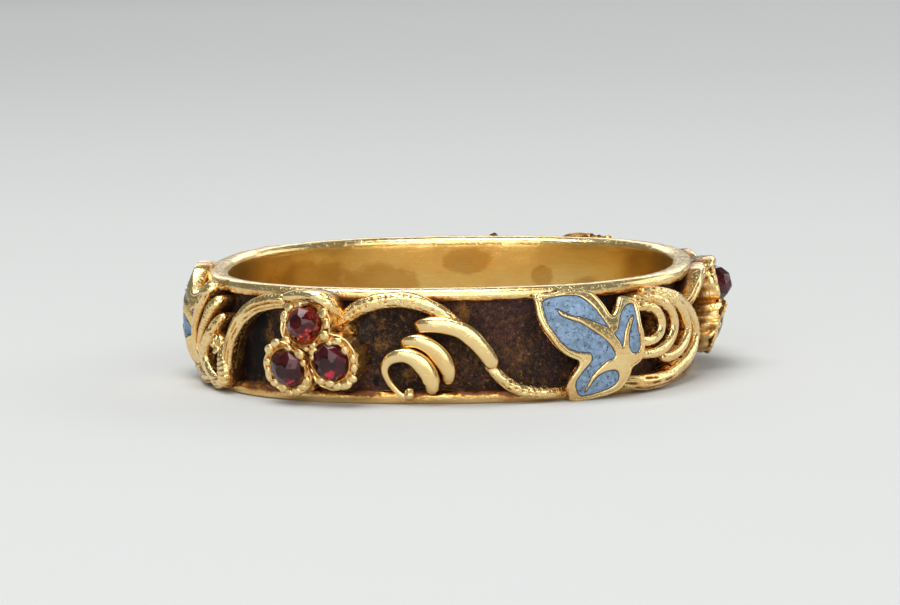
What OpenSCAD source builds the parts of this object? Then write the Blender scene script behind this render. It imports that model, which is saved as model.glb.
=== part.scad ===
// A gold finger ring, lying on its side with the finger axis along Z.
// The hoop has two raised rims. In the channel between them a vine runs once round the
// ring and carries three sprays. Each spray has a bunch of three garnets, a coiled
// tendril, an enamelled leaf and a looped tendril.
// Every place on the ring is an angle round the finger axis, from the front at -Y
// towards +X, a height along Z, and a radius.

/* [Hoop] */
// Radius of the finger hole
bore_r = 9.2; // [9.1:0.05:9.3]
// Outer radius of the two rims
rim_r = 10; // [9.95:0.05:10.1]
// Height of the hoop
hoop_h = 4.4; // [4.35:0.05:4.6]
// Height of each rim
rim_h = 0.5; // [0.4:0.05:0.55]
// Radius of the channel floor
floor_r = 9.6; // [9.55:0.05:9.7]

/* [Vine] */
// Factor on the width of every wire
wire_width = 1; // [0.9:0.05:1.1]

/* [Leaf] */
// Radius of the top face of a leaf at its crown
leaf_r = 10.95; // [10.9:0.05:11]
// Thickness of a leaf
leaf_thick = 0.36; // [0.34:0.02:0.38]
// Radius of the leaf's camber, from its upper to its lower edge
leaf_camber = 4.2; // [4:0.2:5]
// Depth of the enamel cells in a leaf
cell_depth = 0.22; // [0.2:0.01:0.24]
// Angle of the middle of the first leaf
leaf_t = 30; // [29:1:31]

/* [Grapes] */
// Angle of the middle of the first bunch
bunch_t = -29.6; // [-31:0.2:-28]
// Distance between two neighbouring stones
stone_pitch = 1.87; // [1.8:0.01:1.95]
// Radius of a stone at its girdle
stone_r = 0.74; // [0.7:0.01:0.78]
// Outer radius of a collet at its rim
collet_r = 1.02; // [0.98:0.01:1.06]
// Radius of the rim of the collets, from the finger axis
collet_top_r = 11.15; // [11.1:0.05:11.2]
// Height of a collet
collet_h = 1.62; // [1.6:0.01:1.64]
// Radius of the bead that borders a collet
bead_r = 0.17; // [0.14:0.01:0.18]

/* [Hidden] */
spray_count = 3;
spray_turn = 360 / spray_count;
gap = 0.02;
rim_round = 0.16;
wire_root_r = floor_r - 0.1;
// Radius at which the routes' angles are turned into lengths
mid_wire_r = 10.4;
bunch_tilt = 9.5;
bunch_z = -0.08;
bunch_reach = stone_pitch / sqrt(3);
// The face of a bunch is a shallow dome: its radius, and the height of its crown
bunch_dome_r = 4.5;
bunch_dome_z = -0.3;
// The rise of each bunch
bunch_rise = [0, 0.2, 0];
// Depth of a stone's girdle below the rim of its collet
girdle_sink = 0.06;
stone_pavilion = 0.42;
stone_table = 0.34;
stone_sides = 8;
girdle_half = 0.02;
culet_r = 0.1;
// Where the crown's two rows of facets meet: share of the radius, share of the height
crown_break = [0.8, 0.55];
seat_r = stone_r + gap;
collet_beads = 10;
bead_step = 27;
bead_start = -bead_step * (collet_beads - 1) / 2;
bead_ring_r = collet_r - 0.06;
collet_taper = 0.7;
leaf_crown_z = -0.1;
// The turn and the rise of each leaf: the second and the third one stand a little higher,
// and the third one lies right against its looped tendril
leaf_shift = [[0, 0], [2, 0.24], [8.5, 0.28]];
middle_bead_r = 0.2;
seat_depth = stone_pavilion + 0.12;
bead_sink = 0.04;

// Routes of the wires of one spray. Each row is an angle, a height, a crest radius and a
// width. The stem rises from the lower rim to the bunch, arches over the coil and runs
// low under the leaf.
stem_rise = [
    [-66.5, -1.72, 10.3, 0.46], [-63, -1.84, 10.46, 0.54], [-59.2, -1.76, 10.5, 0.56],
    [-56.6, -1.3, 10.5, 0.56], [-55.7, -0.6, 10.5, 0.56], [-54.1, 0.04, 10.5, 0.58],
    [-51.4, 0.66, 10.5, 0.62], [-48.2, 1.14, 10.5, 0.64], [-45, 1.44, 10.5, 0.64],
    [-41.5, 1.62, 10.5, 0.64], [-36.5, 1.7, 10.5, 0.58],
];
// Behind the first spray the stem starts high, from that spray's closing loop
stem_rise_high = [
    [-59, 0.75, 10.4, 0.4], [-56, 0.95, 10.5, 0.44], [-52, 1.3, 10.5, 0.5],
    [-47, 1.65, 10.5, 0.52], [-42, 1.82, 10.5, 0.54], [-36.5, 1.84, 10.5, 0.54],
];
stem_arch = [
    [-25.8, 0.8, 10.3, 0.46], [-23.6, 1.1, 10.46, 0.56], [-21, 1.45, 10.5, 0.62],
    [-18, 1.68, 10.52, 0.64], [-15, 1.8, 10.52, 0.64], [-11, 1.84, 10.52, 0.64],
    [-7, 1.72, 10.5, 0.62], [-3, 1.4, 10.5, 0.56], [0.5, 1, 10.5, 0.5], [4, 0.45, 10.45, 0.46],
    [6.8, -0.2, 10.45, 0.44], [8.6, -0.85, 10.45, 0.44], [11, -1.28, 10.48, 0.48],
    [14, -1.62, 10.48, 0.5], [18, -1.8, 10.46, 0.5], [22, -1.83, 10.4, 0.48],
    [25, -1.82, 10.26, 0.46], [31, -1.78, 10.26, 0.46], [36, -1.7, 10.26, 0.46],
    [39, -1.74, 10.45, 0.5], [44, -1.82, 10.5, 0.54], [50, -1.82, 10.5, 0.54],
    [54, -1.74, 10.45, 0.5],
];
// The wire that wraps the upper stone of a bunch
bunch_hood = [
    [-37, 1.66, 10.5, 0.36], [-35.6, 1.86, 10.8, 0.42], [-33.4, 1.96, 10.92, 0.46],
    [-31, 1.98, 10.96, 0.5], [-28.6, 1.96, 10.96, 0.52], [-26.8, 1.86, 10.92, 0.52],
    [-25.6, 1.62, 10.84, 0.48], [-25, 1.3, 10.6, 0.4], [-25, 1, 10.3, 0.34],
];

// The three turns of the coiled tendril, and the bead at its end
coil_first_turn = [
    [-8.5, 0.74, 10.25, 0.36], [-7.2, 0.84, 10.55, 0.5], [-4.5, 0.92, 10.72, 0.56],
    [-1.4, 0.88, 10.75, 0.6], [1.7, 0.71, 10.77, 0.64], [4.1, 0.41, 10.77, 0.66],
    [6.2, 0, 10.75, 0.64], [7.8, -0.42, 10.7, 0.6], [8.8, -0.8, 10.6, 0.5],
];
coil_second_turn = [
    [-11.4, 0.06, 10.3, 0.34], [-9.6, 0.25, 10.52, 0.48], [-7.3, 0.28, 10.64, 0.56],
    [-4.9, 0.11, 10.68, 0.66], [-2.9, -0.21, 10.68, 0.72], [-1.5, -0.6, 10.66, 0.7],
    [-0.9, -1, 10.56, 0.58], [-1.4, -1.42, 10.25, 0.38],
];
coil_last_turn = [
    [-10.2, -1.95, 10.2, 0.22], [-12, -1.74, 10.25, 0.24], [-14, -1.32, 10.3, 0.26],
    [-14.9, -0.88, 10.4, 0.3], [-14.2, -0.52, 10.5, 0.42], [-12.3, -0.3, 10.6, 0.54],
    [-10, -0.26, 10.66, 0.6], [-7.8, -0.42, 10.68, 0.7], [-6, -0.73, 10.68, 0.74],
    [-4.9, -1.08, 10.66, 0.7], [-4.6, -1.42, 10.6, 0.58], [-5.4, -1.72, 10.42, 0.42],
];
coil_bead = [-9.2, -1.76];
coil_bead_r = 0.22;

// The first spray's looped tendril: three loops and the wire that closes them
round_loops = [
    [
        [38, 1.1, 10.5, 0.38], [42.4, 1.2, 10.5, 0.38], [46.4, 1.08, 10.5, 0.4],
        [49, 0.76, 10.5, 0.43], [49.8, 0.38, 10.5, 0.45], [49, 0.02, 10.5, 0.43],
        [46.2, -0.18, 10.5, 0.4], [42.3, -0.14, 10.5, 0.38], [38, 0, 10.45, 0.36],
    ],
    [
        [41, 1.48, 10.4, 0.38], [46, 1.46, 10.46, 0.4], [50.6, 1.2, 10.5, 0.44],
        [53.7, 0.82, 10.5, 0.48], [55.3, 0.34, 10.5, 0.5], [54.7, -0.1, 10.5, 0.5],
        [52, -0.46, 10.5, 0.48], [48, -0.68, 10.48, 0.44], [43, -0.68, 10.45, 0.38],
        [39, -0.6, 10.4, 0.36],
    ],
    [
        [46, 1.62, 10.35, 0.38], [52, 1.42, 10.44, 0.42], [57.2, 1.02, 10.5, 0.47],
        [61, 0.52, 10.5, 0.5], [63.3, -0.05, 10.5, 0.5], [61.8, -0.5, 10.5, 0.5],
        [58, -0.86, 10.45, 0.46], [53.5, -1, 10.4, 0.42], [50.5, -0.95, 10.35, 0.34],
    ],
    [
        [44, 1.7, 10.3, 0.34], [49, 1.64, 10.4, 0.38], [56, 1.32, 10.46, 0.44],
        [61.6, 0.88, 10.5, 0.47], [66, 0.42, 10.52, 0.49], [69.6, -0.1, 10.53, 0.5],
        [70, -0.62, 10.53, 0.52], [66, -1.14, 10.52, 0.56], [60, -1.48, 10.46, 0.58],
        [52.5, -1.74, 10.4, 0.5],
    ],
];
// The other looped tendrils are open: three claws and a short notched wire
claw_loops = [
    [
        [61.2, 1.96, 10.4, 0.4], [58.6, 1.78, 10.68, 0.5], [56, 1.4, 10.8, 0.54],
        [53.4, 0.96, 10.86, 0.48], [51.2, 0.5, 10.88, 0.42], [49.6, 0.04, 10.88, 0.38],
        [48.8, -0.4, 10.84, 0.36], [49.1, -0.82, 10.74, 0.36], [50.9, -1.16, 10.58, 0.36],
        [53.4, -1.45, 10.4, 0.32],
    ],
    [
        [64.5, 1.62, 10.35, 0.38], [62.3, 1.42, 10.62, 0.48], [60.2, 1.1, 10.72, 0.5],
        [58, 0.78, 10.74, 0.46], [55.7, 0.44, 10.74, 0.4], [53.4, 0.08, 10.74, 0.36],
        [51.4, -0.28, 10.72, 0.34], [50.4, -0.64, 10.7, 0.34], [51, -1.02, 10.6, 0.34],
        [53, -1.42, 10.4, 0.3],
    ],
    [
        [65, 0.9, 10.35, 0.36], [62.2, 0.6, 10.56, 0.46], [59.4, 0.28, 10.64, 0.52],
        [56.8, -0.06, 10.68, 0.56], [54.4, -0.42, 10.7, 0.56], [53.2, -0.8, 10.7, 0.56],
        [53.6, -1.16, 10.66, 0.56], [55.2, -1.5, 10.58, 0.54], [58.4, -1.84, 10.44, 0.5],
    ],
    [
        [62.3, -0.2, 10.3, 0.34], [62.6, -0.55, 10.52, 0.46], [63.1, -0.9, 10.62, 0.54],
        [63.9, -1.3, 10.66, 0.56], [63.6, -1.66, 10.6, 0.5], [62.4, -1.95, 10.4, 0.4],
    ],
];

// Outline of a leaf: angle and height of its corners, from the tip of the large lobe
leaf_outline = [
    [17.8, 1.95], [20.5, 1.93], [23.8, 2.02], [26.5, 2.03], [28.6, 1.98], [30, 1.88],
    [31, 1.66], [31.9, 1.4], [32.8, 1.08], [33.7, 0.99], [34.7, 1.12], [35.7, 1.42],
    [36.7, 1.63], [38.2, 1.6], [39.7, 1.48], [40.1, 1.12], [40.1, 0.6], [40.5, 0.2],
    [40.7, -0.15], [40.5, -0.56], [39.8, -0.81], [38, -1.01], [37.7, -1.24], [37.3, -1.46],
    [36.7, -1.68], [35.6, -1.86], [33.6, -2], [30.6, -2.1], [28, -2.15], [25.5, -2.14],
    [24.8, -1.98], [24.1, -1.6], [24.3, -1.32], [25.4, -1], [26.1, -0.74], [25.8, -0.54],
    [24.2, -0.4], [22.5, -0.19], [21.3, 0.06], [20.1, 0.37], [18.8, 0.72], [17.9, 1.15],
    [17.7, 1.55],
];
// Cell of the large lobe, which runs on down the inner side of the lower lobe, round
// the free tips of the two veins
leaf_cell_large = [
    [18.8, 1.5], [19.3, 1.76], [22, 1.86], [24.2, 1.89], [26.7, 1.84], [28.3, 1.66],
    [29.7, 1.38], [30.7, 1.1], [31.7, 0.8], [32.3, 0.6], [30.6, 0.74], [28.4, 0.92],
    [26.4, 1.06], [24.3, 1.16], [21.8, 1.4], [22.4, 1.16], [24.3, 1], [26.3, 0.86],
    [28.2, 0.62], [30.1, 0.36], [32, 0.05], [33.1, -0.2], [33.6, -0.55], [31.7, -0.72],
    [30.3, -0.94], [29, -1.22], [28.2, -1.52], [27.7, -1.86], [28.3, -1.72], [29.5, -1.32],
    [31.2, -1.12], [33, -1.05], [34.4, -1.1], [35.1, -1.36], [34.8, -1.62], [33.2, -1.8],
    [30.8, -1.93], [28.1, -2], [26.5, -1.96], [25.4, -1.55], [25.7, -1.26], [27, -0.92],
    [28.3, -0.62], [28, -0.34], [26, -0.27], [24, -0.14], [22.2, 0.12], [20.7, 0.5],
    [19.4, 0.9],
];
// Cell of the small lobe, round its vein
leaf_cell_small = [
    [33.4, 0.36], [34.3, 0.48], [35.1, 0.9], [36.1, 1.2], [37.7, 1.4], [39.3, 1.34],
    [39.5, 1.02], [39.4, 0.5], [39.8, 0.1], [39.8, -0.25], [39.1, -0.46], [37.7, -0.46],
    [36.9, -0.16], [37, 0.3], [37.8, 0.64], [38.6, 0.96], [37.4, 0.78], [36.2, 0.46],
    [35.7, 0.1], [35.3, -0.2], [34.5, 0.06],
];

// The stones of a bunch: direction from the bunch's middle, height of the crown, and the
// angle by which the stone leans upwards
top_stone = [90, 0.52, 10];
left_stone = [210, 0.28, -6];
right_stone = [330, 0.28, -3];
bunch_stones = [top_stone, left_stone, right_stone];

$fn = 48;

// A point of the ring from its angle, height and radius
function place(t, z, r) = [r * sin(t), -r * cos(t), z];

// A smooth line through points, with n steps between two of them
function between(a, b, c, d, f) =
    0.5 * (2 * b + (c - a) * f + (2 * a - 5 * b + 4 * c - d) * f * f
    + (3 * b - a - 3 * c + d) * f * f * f);
function smooth_line(q, n) = [
    for (i = [0:len(q) - 2], k = [0:n - 1])
        between(q[max(i - 1, 0)], q[i], q[i + 1], q[min(i + 2, len(q) - 1)], k / n),
    q[len(q) - 1],
];

// The wire's section: a round crest on upright flanks that stand on the channel floor.
// Shoulder and flank are shares of the width, across the wire and down from its crest.
shoulder = [0.32, 0.12];
flank = [0.5, 0.4];
function wire_section(crest, w) = [
    [-flank[0] * w, wire_root_r], [-flank[0] * w, crest - flank[1] * w],
    [-shoulder[0] * w, crest - shoulder[1] * w], [0, crest],
    [shoulder[0] * w, crest - shoulder[1] * w],
    [flank[0] * w, crest - flank[1] * w], [flank[0] * w, wire_root_r],
];
function step_across(q, i) = let (
    a = q[max(i - 1, 0)], b = q[min(i + 1, len(q) - 1)],
    along = [(b[0] - a[0]) * PI / 180 * mid_wire_r, b[1] - a[1]]
) [-along[1], along[0]] / norm(along);

// A wire laid on the ring along a route of angle, height, crest radius and width
module wire(route, steps = 2) {
    q = smooth_line(route, steps);
    m = len(wire_section(1, 1));
    points = [
        for (i = [0:len(q) - 1])
            let (across = step_across(q, i))
            for (s = wire_section(q[i][2], wire_width * q[i][3]))
                place(q[i][0] + s[0] * across[0] / mid_wire_r * 180 / PI,
                      q[i][1] + s[0] * across[1], s[1]),
    ];
    last = (len(q) - 1) * m;
    faces = concat(
        [[for (k = [m - 1:-1:0]) k]],
        [[for (k = [0:m - 1]) last + k]],
        [
            for (i = [0:len(q) - 2], k = [0:m - 1])
                let (a = i * m + k, b = i * m + (k + 1) % m)
                each [[a, b, b + m], [a, b + m, a + m]],
        ]
    );
    polyhedron(points, faces, convexity = 8);
}

module hoop() {
    half = hoop_h / 2;
    lip = half - rim_h;
    rotate_extrude()
        polygon([
            [bore_r, -half + rim_round], [bore_r + rim_round, -half],
            [rim_r - rim_round, -half], [rim_r, -half + rim_round],
            [rim_r, -lip], [floor_r, -lip], [floor_r, lip], [rim_r, lip],
            [rim_r, half - rim_round], [rim_r - rim_round, half],
            [bore_r + rim_round, half], [bore_r, half - rim_round],
        ]);
}

// Puts its children at a place on the ring, with their own Z pointing outwards
module outwards(t, z = 0) {
    rotate([0, 0, t]) translate([0, 0, z]) rotate([90, 0, 0]) children();
}

module at_spray(i) {
    rotate([0, 0, i * spray_turn]) children();
}

module at_leaf(i) {
    translate([0, 0, leaf_shift[i][1]]) rotate([0, 0, leaf_shift[i][0]]) children();
}

module at_bunch(i) {
    translate([0, 0, bunch_rise[i]]) children();
}

// The radius of a bunch's domed face at a height
function bunch_face_r(z) = collet_top_r - (z - bunch_dome_z) ^ 2 / (2 * bunch_dome_r);

// Puts its children on one stone's collet, with the middle of its rim at their origin
module at_stone(stone) {
    direction = stone[0] + bunch_tilt;
    z = bunch_z + bunch_reach * sin(direction);
    outwards(bunch_t + bunch_reach * cos(direction) / collet_top_r * 180 / PI, z)
        translate([0, 0, bunch_face_r(z)]) rotate([-stone[2], 0, 0]) children();
}

// A barrel round the ring with the leaf's camber, whose crown has the given radius
module barrel(crown_r) {
    translate([0, 0, leaf_crown_z])
        rotate_extrude() intersection() {
            translate([leaf_r - leaf_camber, 0]) circle(crown_r - leaf_r + leaf_camber);
            translate([0, -hoop_h]) square([2 * rim_r, 2 * hoop_h]);
        }
}

// The radius of the cambered face at a height
function leaf_face_r(z) =
    leaf_r - leaf_camber + sqrt(leaf_camber * leaf_camber - (z - leaf_crown_z) ^ 2);

// What lies between two barrels inside an outline of angles and heights on the leaf's face
module curved_plate(outline, inner, outer, shrink = 0) {
    intersection() {
        outwards(leaf_t)
            translate([0, 0, bore_r / 2]) linear_extrude(leaf_r)
                offset(delta = -shrink)
                    polygon([for (p = outline) [leaf_face_r(p[1]) * sin(p[0] - leaf_t), p[1]]]);
        difference() {
            barrel(outer);
            barrel(inner);
        }
    }
}

module leaf() {
    difference() {
        curved_plate(leaf_outline, leaf_r - leaf_thick, leaf_r);
        curved_plate(leaf_cell_large, leaf_r - cell_depth, leaf_r + leaf_thick);
        curved_plate(leaf_cell_small, leaf_r - cell_depth, leaf_r + leaf_thick);
    }
}

module collet() {
    translate([0, 0, -collet_h]) cylinder(r1 = collet_taper * collet_r, r2 = collet_r, h = collet_h);
    for (k = [0:collet_beads - 1])
        rotate([0, 0, bead_start + k * bead_step])
            translate([bead_ring_r, 0, -bead_sink]) sphere(bead_r);
}

module bunch() {
    difference() {
        union() {
            for (s = bunch_stones) at_stone(s) rotate([0, 0, s[0] + bunch_tilt]) collet();
            outwards(bunch_t, bunch_z) translate([0, 0, bunch_face_r(bunch_z)]) sphere(middle_bead_r);
        }
        for (s = bunch_stones) at_stone(s)
            translate([0, 0, -girdle_sink - seat_depth]) cylinder(r = seat_r, h = 2 * seat_depth);
    }
}

module coil_tendril() {
    for (turn = [coil_first_turn, coil_second_turn, coil_last_turn]) wire(turn);
    outwards(coil_bead[0], coil_bead[1]) translate([0, 0, rim_r + coil_bead_r / 2])
        sphere(coil_bead_r);
}

module looped_tendril(closed) {
    for (loop = closed ? round_loops : claw_loops) wire(loop);
}

module stem(high) {
    wire(high ? stem_rise_high : stem_rise);
    wire(stem_arch);
    wire(bunch_hood);
}

module gold_body() {
    color("goldenrod") {
        hoop();
        for (i = [0:spray_count - 1]) at_spray(i) {
            stem(i == 1);
            coil_tendril();
            looped_tendril(i == 0);
            at_leaf(i) leaf();
            at_bunch(i) bunch();
        }
    }
}

module enamel(i, cell) {
    color("cornflowerblue") at_spray(i) at_leaf(i)
        curved_plate(cell, leaf_r - cell_depth + gap, leaf_r - gap, gap);
}

// A cut stone: a table, a crown of two rows of facets, a thin girdle and a pavilion.
// Each ring of corners is a radius, a height from the girdle and a turn.
module garnet(i, stone) {
    crown = stone[1];
    half_step = 180 / stone_sides;
    rings = [
        [stone_table, crown, 0],
        [crown_break[0] * stone_r, crown_break[1] * crown, half_step],
        [stone_r, girdle_half, 0], [stone_r, -girdle_half, 0],
        [culet_r, -stone_pavilion, 0],
    ];
    points = [
        for (r = rings, k = [0:stone_sides - 1])
            let (a = r[2] + 2 * half_step * k) [r[0] * cos(a), r[0] * sin(a), r[1]],
    ];
    last = (len(rings) - 1) * stone_sides;
    faces = concat(
        [[for (k = [stone_sides - 1:-1:0]) k]],
        [[for (k = [0:stone_sides - 1]) last + k]],
        [
            for (j = [0:len(rings) - 2], k = [0:stone_sides - 1])
                let (a = j * stone_sides + k, b = j * stone_sides + (k + 1) % stone_sides,
                     turned = rings[j + 1][2] > rings[j][2])
                each turned ? [[a, b, a + stone_sides], [b, b + stone_sides, a + stone_sides]]
                    : [[a, b, b + stone_sides], [a, b + stone_sides, a + stone_sides]],
        ]
    );
    color("darkred") at_spray(i) at_bunch(i) at_stone(stone)
        translate([0, 0, -girdle_sink]) polyhedron(points, faces);
}

gold_body();
enamel(0, leaf_cell_large);  // enamel_1_large
enamel(0, leaf_cell_small);  // enamel_1_small
enamel(1, leaf_cell_large);  // enamel_2_large
enamel(1, leaf_cell_small);  // enamel_2_small
enamel(2, leaf_cell_large);  // enamel_3_large
enamel(2, leaf_cell_small);  // enamel_3_small
garnet(0, top_stone);  // garnet_1_top
garnet(0, left_stone);  // garnet_1_left
garnet(0, right_stone);  // garnet_1_right
garnet(1, top_stone);  // garnet_2_top
garnet(1, left_stone);  // garnet_2_left
garnet(1, right_stone);  // garnet_2_right
garnet(2, top_stone);  // garnet_3_top
garnet(2, left_stone);  // garnet_3_left
garnet(2, right_stone);  // garnet_3_right
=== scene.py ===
"""A gold finger ring: a vine in relief with enamelled leaves and bunches of garnets.

Every place on the ring is an angle round the finger axis in degrees, from the front at -Y
towards +X, a height along Z and a radius, both in millimetres. Relief is modelled flat on a
strip, with X along the ring, Y up and Z outwards, and is then wrapped round the hoop.
"""

import logging
import math
from dataclasses import dataclass, field
from enum import Enum
from typing import Any, Iterable, Sequence

import bmesh
import bpy
import numpy as np
from mathutils import Matrix, Vector, noise

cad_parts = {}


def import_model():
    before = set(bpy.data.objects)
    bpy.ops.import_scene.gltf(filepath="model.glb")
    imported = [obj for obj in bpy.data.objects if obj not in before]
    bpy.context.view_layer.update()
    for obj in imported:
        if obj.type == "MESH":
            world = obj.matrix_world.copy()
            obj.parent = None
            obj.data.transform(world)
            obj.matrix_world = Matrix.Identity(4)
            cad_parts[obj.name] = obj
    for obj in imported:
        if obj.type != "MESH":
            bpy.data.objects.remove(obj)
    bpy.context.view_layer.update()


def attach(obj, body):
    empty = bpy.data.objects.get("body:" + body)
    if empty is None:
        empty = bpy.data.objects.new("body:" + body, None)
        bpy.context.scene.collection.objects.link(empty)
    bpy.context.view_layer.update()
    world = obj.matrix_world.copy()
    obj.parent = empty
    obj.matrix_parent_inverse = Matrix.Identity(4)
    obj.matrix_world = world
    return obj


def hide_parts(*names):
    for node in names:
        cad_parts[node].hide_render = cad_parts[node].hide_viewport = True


MM = 0.001
BODY = "root"
SPRAYS = 3
SPRAY_TURN = 360 / SPRAYS
# The meshes' own attributes: how recessed a place is or how much painted shade it takes, and what
# part of the hoop it is on
RECESS_AND_SHADE = "recess_and_shade"
CHANNEL = "channel"
BORE = "bore"

log = logging.getLogger("ring")

# A place on a wire, or a grain: its angle, height and radius, and its width or size
Row = tuple[float, float, float, float]
# A corner of an outline, as angle and height, or of a section, as outwards and upwards
Spot = tuple[float, float]
# Red, green and blue
Shade = tuple[float, float, float]


def smoothstep(x: float, low: float, high: float) -> float:
    """Returns 0 below low, 1 above high and a smooth rise between them."""
    f = min(1.0, max(0.0, (x - low) / (high - low)))
    return f * f * (3 - 2 * f)


def grain(x: float, y: float, z: float, scale: float, seed: float = 0.0) -> float:
    """Returns smooth noise between about -1 and 1.

    Args:
        x, y, z: The place, in millimetres.
        scale: How many swells there are to a millimetre.
        seed: Moves the pattern.

    Returns:
        The noise at that place.
    """
    return noise.noise(Vector((x * scale + seed, y * scale - seed, z * scale + 7.3 * seed)))


@dataclass(frozen=True)
class Ripple:
    """A wave of wear: its height in millimetres, its swells to a millimetre and its seed."""

    height: float
    scale: float
    seed: float


def wear(ripples: Iterable[Ripple], x: float, y: float, z: float) -> float:
    """Returns how far ripples move a surface at a place, in millimetres."""
    return sum(ripple.height * grain(x, y, z, ripple.scale, ripple.seed) for ripple in ripples)


def smooth_line(rows: Sequence[Sequence[float]], steps: int,
                closed: bool = False) -> list[tuple[float, ...]]:
    """Draws a smooth line through rows of numbers.

    Args:
        rows: The rows that it passes through.
        steps: How many points it has from one row to the next.
        closed: Whether it returns to its first row.

    Returns:
        The line's points, with as many numbers as a row.
    """
    count = len(rows)
    spans = count if closed else count - 1
    line = []
    for i in range(spans):
        if closed:
            a, b, c, d = (rows[(i + k) % count] for k in (-1, 0, 1, 2))
        else:
            a, b, c, d = (rows[min(max(i + k, 0), count - 1)] for k in (-1, 0, 1, 2))
        for k in range(steps):
            f = k / steps
            line.append(tuple(
                0.5 * (2 * q + (r - p) * f + (2 * p - 5 * q + 4 * r - s) * f * f
                       + (3 * q - p - 3 * r + s) * f ** 3)
                for p, q, r, s in zip(a, b, c, d)))
    if not closed:
        line.append(tuple(rows[-1]))
    return line


@dataclass(frozen=True)
class Ring:
    """The ring's measures, and the way from a strip to a place on the worn ring."""

    strip_r: float = 10.4
    wear_cos: float = -0.284
    wear_sin: float = 0.098

    def worn(self, t: float) -> float:
        """Returns how far the worn hoop stands out of round at an angle, in millimetres."""
        a = math.radians(4 * t)
        return self.wear_cos * math.cos(a) + self.wear_sin * math.sin(a)

    def along(self, t: float) -> float:
        """Returns the length along the strip that an angle stands for."""
        return math.radians(t) * self.strip_r

    def angle(self, x: float) -> float:
        """Returns the angle that a length along the strip stands for."""
        return math.degrees(x / self.strip_r)

    def place(self, t: float, z: float, r: float) -> Vector:
        """Returns the point of the worn ring at an angle, height and radius, in metres."""
        a = math.radians(t)
        out = r + self.worn(t)
        return Vector((out * math.sin(a), -out * math.cos(a), z)) * MM

    def wrap(self, bm: bmesh.types.BMesh, turn: float = 0.0) -> None:
        """Wraps a strip in millimetres round the ring.

        Args:
            bm: The mesh, with X along the ring, Y up and Z outwards.
            turn: The angle at which the strip's own zero lies.
        """
        for v in bm.verts:
            v.co = self.place(self.angle(v.co.x) + turn, v.co.y, v.co.z)

    def stand(self, t: float, z: float, r: float) -> Matrix:
        """Gives the frame of a rigid piece that stands on the ring.

        Args:
            t: Its angle.
            z: Its height.
            r: The radius at its origin.

        Returns:
            A matrix from the piece's millimetres, with X along the ring, Y up and Z
            outwards, to the ring's metres.
        """
        turn = (Matrix.Rotation(math.radians(t), 4, "Z")
                @ Matrix.Rotation(math.radians(90), 4, "X"))
        return Matrix.Translation(self.place(t, z, r)) @ turn @ Matrix.Scale(MM, 4)


RING = Ring()


class Workshop:
    """Turns a finished bmesh into a piece of the ring."""

    @staticmethod
    def piece(bm: bmesh.types.BMesh, name: str, finish: bpy.types.Material, slot: str,
              replaces: Sequence[str] = (), smooth: bool = True) -> bpy.types.Object:
        """Makes an object of a bmesh, dresses it and sets it on the ring.

        Args:
            bm: The mesh, in metres. It is freed.
            name: The piece's name.
            finish: Its material.
            slot: The record's material slot that it stands for. It is not used.
            replaces: The solids that it stands for.
            smooth: Whether its faces are shaded smoothly.

        Returns:
            The new object.
        """
        bmesh.ops.recalc_face_normals(bm, faces=bm.faces)
        for face in bm.faces:
            face.smooth = smooth
        mesh = bpy.data.meshes.new(name)
        bm.to_mesh(mesh)
        bm.free()
        mesh.materials.append(finish)
        piece = bpy.data.objects.new(name, mesh)
        bpy.context.scene.collection.objects.link(piece)
        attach(piece, BODY)
        if replaces:
            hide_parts(*replaces)
        log.info("%s: %d faces", name, len(mesh.polygons))
        return piece


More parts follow.
